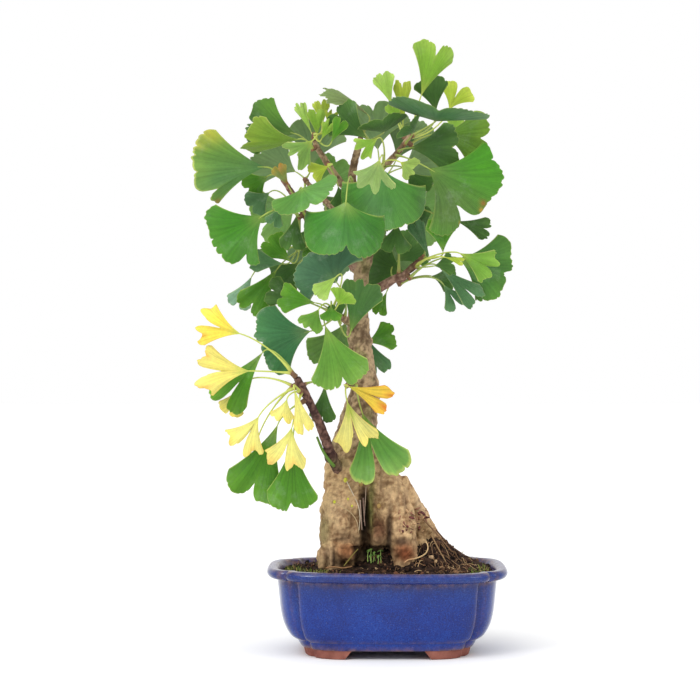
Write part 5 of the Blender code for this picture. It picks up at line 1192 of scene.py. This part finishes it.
def build_soil(wood):
    wood_u, wood_v = grid_of(wood)

    def on_wood(u, v, lift):
        """A point just in front of the wood's front face."""
        near = np.abs(wood_u - u) + np.abs(wood_v - v)
        y = wood[near < max(2.2, near.min() + 0.8)][:, 1].min()
        return at(u, v, y * 1000 - lift)

    angles = pot_angles(176)
    ex, ey, q = outline(0.0789, half_depth(0.0789 + 0.006) - 0.006, 0.065, angles)
    rings = []
    for z, f in ((0.0123, 0.83), (0.0130, 0.86), (0.0300, 0.935), (0.0520, 0.965), (0.0570, 0.985)):
        rings.append(np.stack([ex * f, ey * f, np.full(len(ex), z)], axis=1))
    for f in np.linspace(1.0, 0.02, 72):
        x, y = ex * f, ey * f
        rings.append(np.stack([x, y, soil_height(x, y) - 0.0012 * smooth(0.93, 1.0, np.full(len(x), f))], axis=1))
    verts, faces = loft_mesh(rings)
    rough = fbm(verts, 210, 4, 11)
    top = verts[:, 2] > 0.0575
    verts[:, 2] += np.where(top, rough * 0.0024, 0)
    tint = mixed(linear((20, 13, 11)), linear((56, 40, 31)), smooth(-0.3, 0.6, rough))
    soup = Soup()
    soup.add(verts, faces, 0, tint)
    soil = soup.build("soil_look", [SOIL])
    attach(soil, "root")
    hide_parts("soil")

    # crumbs and stones lying on it
    rng = np.random.default_rng(7)
    crumbs = Soup()
    shades = [(30, 20, 16), (44, 30, 24), (62, 44, 33), (84, 60, 44), (104, 70, 50), (132, 100, 74), (172, 144, 110)]
    odds = np.array([0.30, 0.27, 0.18, 0.11, 0.07, 0.04, 0.03])
    placed, goal = 0, 1500
    while placed < goal:
        f, a = math.sqrt(rng.uniform()) * 0.985, rng.uniform(0, 2 * math.pi)
        i = int(np.argmin(np.abs(angles - a)))
        x, y = ex[i] * f, ey[i] * f
        r = rng.uniform(0.0005, 0.0013) if rng.uniform() < 0.86 else rng.uniform(0.0013, 0.0022)
        level = 2 if r > 0.0015 else 1
        bv, bf = BALLS[level]
        shape = bv * rng.uniform(0.72, 1.2, (len(bv), 1)) * rng.uniform(0.55, 1.15, 3) * r
        z = float(soil_height(np.array(x), np.array(y))) + r * rng.uniform(-0.1, 0.5)
        crumbs.add(shape @ any_turn(rng).T + np.array([x, y, z]), bf, 0, linear(shades[rng.choice(7, p=odds)]) * rng.uniform(0.8, 1.2))
        placed += 1
    ob = crumbs.build("soil_crumbs", [CRUMB], flat=True)
    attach(ob, "root")

    # fine roots, bark chips, dry stems
    bits = Soup()

    def strand(start, heading, length, radius, rgb, lift=0.0004, follow=True, wiggle=0.5):
        p = np.array(start, float)
        h = unit(np.array(heading, float))
        pts = []
        steps = 9
        for i in range(steps):
            if follow:
                p[2] = float(soil_height(p[0], p[1])) + lift + 0.0012 * math.sin(i * 0.9 + radius * 9e4)
            pts.append(p.copy())
            turn = rng.normal(0, wiggle)
            h = unit(np.array([h[0] * math.cos(turn) - h[1] * math.sin(turn), h[0] * math.sin(turn) + h[1] * math.cos(turn), h[2] + rng.normal(0, 0.15) * (0 if follow else 1)]))
            p = p + h * length / (steps - 1)
        run = rounded(pts, 2)
        v, f = tube_mesh(run, np.linspace(radius, radius * 0.45, len(run)), 6)
        bits.add(v, f, 0, linear(rgb) * rng.uniform(0.8, 1.2))

    browns = [(120, 92, 66), (150, 118, 86), (96, 68, 50), (176, 146, 108), (70, 48, 38)]
    for i in range(110):  # the mound is bound with fine roots running downhill
        x = rng.uniform(0.024, 0.062)
        y = rng.uniform(-0.030, 0.020)
        down = np.array([x - 0.022, y - 0.014, 0.0]) + np.array([rng.normal(0, 0.01), rng.normal(0, 0.01), 0])
        strand((x, y, 0), down, rng.uniform(0.008, 0.022), rng.uniform(0.00022, 0.00048), browns[rng.integers(5)])
    for i in range(60):
        a, f = rng.uniform(0, 2 * math.pi), rng.uniform(0.45, 0.93)
        k = int(np.argmin(np.abs(angles - a)))
        strand((ex[k] * f, ey[k] * f, 0), (rng.normal(), rng.normal(), 0), rng.uniform(0.004, 0.013), rng.uniform(0.0002, 0.0004), browns[rng.integers(5)])
    for raw, r, rgb in [
        ([(414, 559, -38), (420, 557, -40), (426, 553, -40), (428, 547, -38), (426, 541, -36)], 0.00062, (196, 164, 120)),
        ([(414, 559, -38), (408, 560, -39), (404, 563, -40)], 0.0006, (190, 150, 108)),
        ([(326, 568, -40), (334, 567, -41), (343, 568, -41), (352, 566.5, -40)], 0.0006, (150, 112, 76)),
        ([(344, 566, -34), (351, 557, -34), (358, 549, -33)], 0.0004, (140, 128, 66)),
        ([(431, 534, -14), (438, 548, -22), (446, 562, -28)], 0.0006, (146, 118, 84)),
        ([(424, 520, -12), (437, 534, -18), (452, 552, -22)], 0.0007, (118, 90, 66)),
        ([(436, 530, -8), (450, 545, -12), (466, 556, -14)], 0.0006, (96, 70, 54)),
        ([(346, 480, -33), (352, 492, -34), (358, 505, -32), (360, 517, -27), (359, 530, -27)], 0.0004, (196, 182, 158)),
        ([(360, 500, -22), (361, 515, -24), (362, 530, -26)], 0.0006, (150, 128, 112)),
        ([(363, 498, -20), (364, 514, -23), (365, 526, -25)], 0.0005, (128, 104, 92)),
        ([(366, 487, -18), (365, 505, -20), (364, 522, -23)], 0.0004, (168, 146, 126)),
        ([(335, 503, -33), (344, 508, -34), (352, 514, -33), (357, 522, -30), (359, 534, -28)], 0.0003, (190, 170, 130)),
    ]:
        ends = [at(*q) for q in raw]
        if raw[0][:2] in ((346, 480), (335, 503)):  # these two creep over the bark
            ends = [on_wood(q[0], q[1], 0.2) for q in raw[:3]] + ends[3:]
        run = rounded(ends, 4)
        v, f = tube_mesh(run, np.linspace(r, r * 0.6, len(run)), 7)
        bits.add(v, f, 0, linear(rgb))
    bv, bf = BALLS[2]
    for u, v_, d, r in [(345.5, 480, -33.6, 1.5), (348, 499, -34, 0.8), (334.5, 502, -33.6, 1.1), (352, 506, -34, 0.8), (361, 484, -24, 1.5), (379, 506, -22, 1.6)]:
        bits.add(bv * np.array([1.0, 0.8, 1.3]) * r * 0.001 + on_wood(u, v_, 0.3), bf, 0, linear((196, 196, 74)) if v_ != 484 and u != 379 else linear((168, 138, 84)))
    for i in range(70):  # curled chips of bark round the outer root and on the mound
        if i < 40:
            u, v_, d = rng.uniform(399, 430), rng.uniform(508, 533), rng.uniform(0.2, 0.8)
            c = on_wood(u, v_, d)
            g = float(soil_height(c[0], c[1]))
            if c[2] < g:
                c[2] = g + 0.0005
            rgb = [(122, 70, 66), (150, 104, 84), (96, 56, 54), (196, 160, 120)][rng.integers(4)]
        else:
            x, y = rng.uniform(-0.07, 0.07), rng.uniform(-0.052, 0.05)
            c = np.array([x, y, float(soil_height(x, y)) + 0.0006])
            rgb = browns[rng.integers(5)]
        bv1, bf1 = BALLS[1]
        shape = bv1 * rng.uniform(0.8, 1.2, (len(bv1), 1)) * np.array([rng.uniform(1.2, 3.2), rng.uniform(0.6, 1.3), 0.35]) * 0.001
        bits.add(shape @ any_turn(rng).T + c, bf1, 0, linear(rgb) * rng.uniform(0.8, 1.2))
    ob = bits.build("soil_litter", [CRUMB])
    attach(ob, "root")

    # moss and seedlings
    green = Soup()

    def blade_of(start, tip, radius, rgb):
        mid_ = (np.array(start) + np.array(tip)) / 2 + rng.normal(0, 0.0004, 3)
        run = rounded([start, mid_, tip], 3)
        v, f = tube_mesh(run, np.linspace(radius, radius * 0.3, len(run)), 5)
        green.add(v, f, 0, linear(rgb) * rng.uniform(0.75, 1.2))

    patches = [(-0.074, -0.010, 0.012, 60), (-0.062, -0.028, 0.012, 60), (-0.078, 0.006, 0.008, 30), (0.073, -0.014, 0.009, 40), (0.066, -0.030, 0.008, 30), (-0.045, 0.030, 0.014, 40), (0.060, 0.028, 0.012, 30), (-0.050, -0.036, 0.010, 40)]
    for px, py, spread, count in patches:
        for i in range(count // (1)):
            x, y = px + rng.normal(0, spread * 0.5), py + rng.normal(0, spread * 0.5)
            if (abs(x) / 0.076) ** 4 + (abs(y) / 0.056) ** 4 > 0.95:
                continue
            z = float(soil_height(x, y))
            tall = rng.uniform(0.0015, 0.0042)
            blade_of((x, y, z - 0.0008), (x + rng.normal(0, 0.0012), y + rng.normal(0, 0.0012), z + tall), 0.00028, [(120, 138, 52), (96, 118, 44), (168, 164, 84), (84, 92, 44)][rng.integers(4)])
    bv1, bf1 = BALLS[2]
    for u, v_, d in [(368, 562, -36), (370.5, 561, -37), (373, 562, -36), (375, 561, -37), (371, 563, -40), (378, 564, -40), (381, 563, -38)]:
        foot = at(u, v_, d)
        foot[2] = max(foot[2], float(soil_height(foot[0], foot[1])) - 0.001)
        top = foot + np.array([rng.normal(0, 0.0008), rng.normal(0, 0.0006), rng.uniform(0.005, 0.0095)])
        blade_of(foot, top, 0.00036, (150, 178, 92))
        for side in (-1, 1):
            turn = Matrix.Rotation(rng.uniform(0, 3.1), 3, "Z") @ Matrix.Rotation(side * rng.uniform(0.35, 0.8), 3, "Y")
            shape = bv1 * np.array([0.0018, 0.0010, 0.00022]) + np.array([side * 0.0015, 0, 0.0003])
            green.add(shape @ np.array(turn).T + top, bf1, 0, linear((78, 108, 42)) * rng.uniform(0.8, 1.2))
    twig = rounded([at(317, 437, -33), at(322, 449, -34), at(328, 459, -32), at(334, 466, -27)], 5)  # green twig beside the basal shoot
    v, f = tube_mesh(twig, np.linspace(0.0009, 0.0013, len(twig)), 9)
    green.add(v, f, 0, linear((96, 132, 50)))
    ob = green.build("moss_and_seedlings", [HERB])
    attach(ob, "root")


# ---------------------------------------------------------------- put together
build_leaves()
WOOD = build_wood()
build_pot()
build_soil(WOOD)
for name in ("drain_screen_left", "drain_screen_right"):
    for slot in frame["nodes"][name].material_slots:
        slot.material = SCREEN

# floor, light and camera
n = Nodes("floor_white", Roughness=0.9, Base_Color=(0.93, 0.93, 0.93, 1.0), Specular_IOR_Level=0.1)
bpy.ops.mesh.primitive_plane_add(size=14.0, location=(0, 0, -0.0002))
floor = bpy.context.object
floor.name = "floor"
floor.data.materials.append(n.mat)

world = bpy.data.worlds.new("studio")
world.use_nodes = True
world.node_tree.nodes["Background"].inputs["Color"].default_value = (1.0, 1.0, 1.0, 1.0)
world.node_tree.nodes["Background"].inputs["Strength"].default_value = 1.0
bpy.context.scene.world = world


def area(name, place, target, size, power):
    light = bpy.data.lights.new(name, "AREA")
    light.shape = "SQUARE"
    light.size = size
    light.energy = power
    ob = bpy.data.objects.new(name, light)
    ob.location = place
    ob.rotation_euler = (Vector(target) - Vector(place)).to_track_quat("-Z", "Y").to_euler()
    bpy.context.scene.collection.objects.link(ob)
    return ob


def sun(name, place, strength, angle):
    light = bpy.data.lights.new(name, "SUN")
    light.energy = strength
    light.angle = math.radians(angle)
    ob = bpy.data.objects.new(name, light)
    ob.rotation_euler = (-Vector(place)).to_track_quat("-Z", "Y").to_euler()
    bpy.context.scene.collection.objects.link(ob)


sun("soft_sun", (-0.55, -0.75, 1.2), 0.95, 50)
area("key", (-1.0, -1.3, 1.2), (0, 0, 0.15), 0.5, 7)
area("fill", (1.2, -0.9, 0.9), (0, 0, 0.2), 0.6, 3)

camera = bpy.data.cameras.new("camera")
camera.sensor_width = 36.0
camera.lens = 36.0 * EYE_DISTANCE / (700 * GRID)
camera.clip_start = 0.05
eye = bpy.data.objects.new("camera", camera)
eye.location = (SHIFT[0] + (EYE_U - POT_U) * GRID, SHIFT[1] - EYE_DISTANCE, EYE_HEIGHT)
eye.rotation_euler = (math.pi / 2, 0, 0)
bpy.context.scene.collection.objects.link(eye)
bpy.context.scene.camera = eye
bpy.context.scene.view_settings.view_transform = "Standard"
bpy.context.scene.view_settings.look = "None"
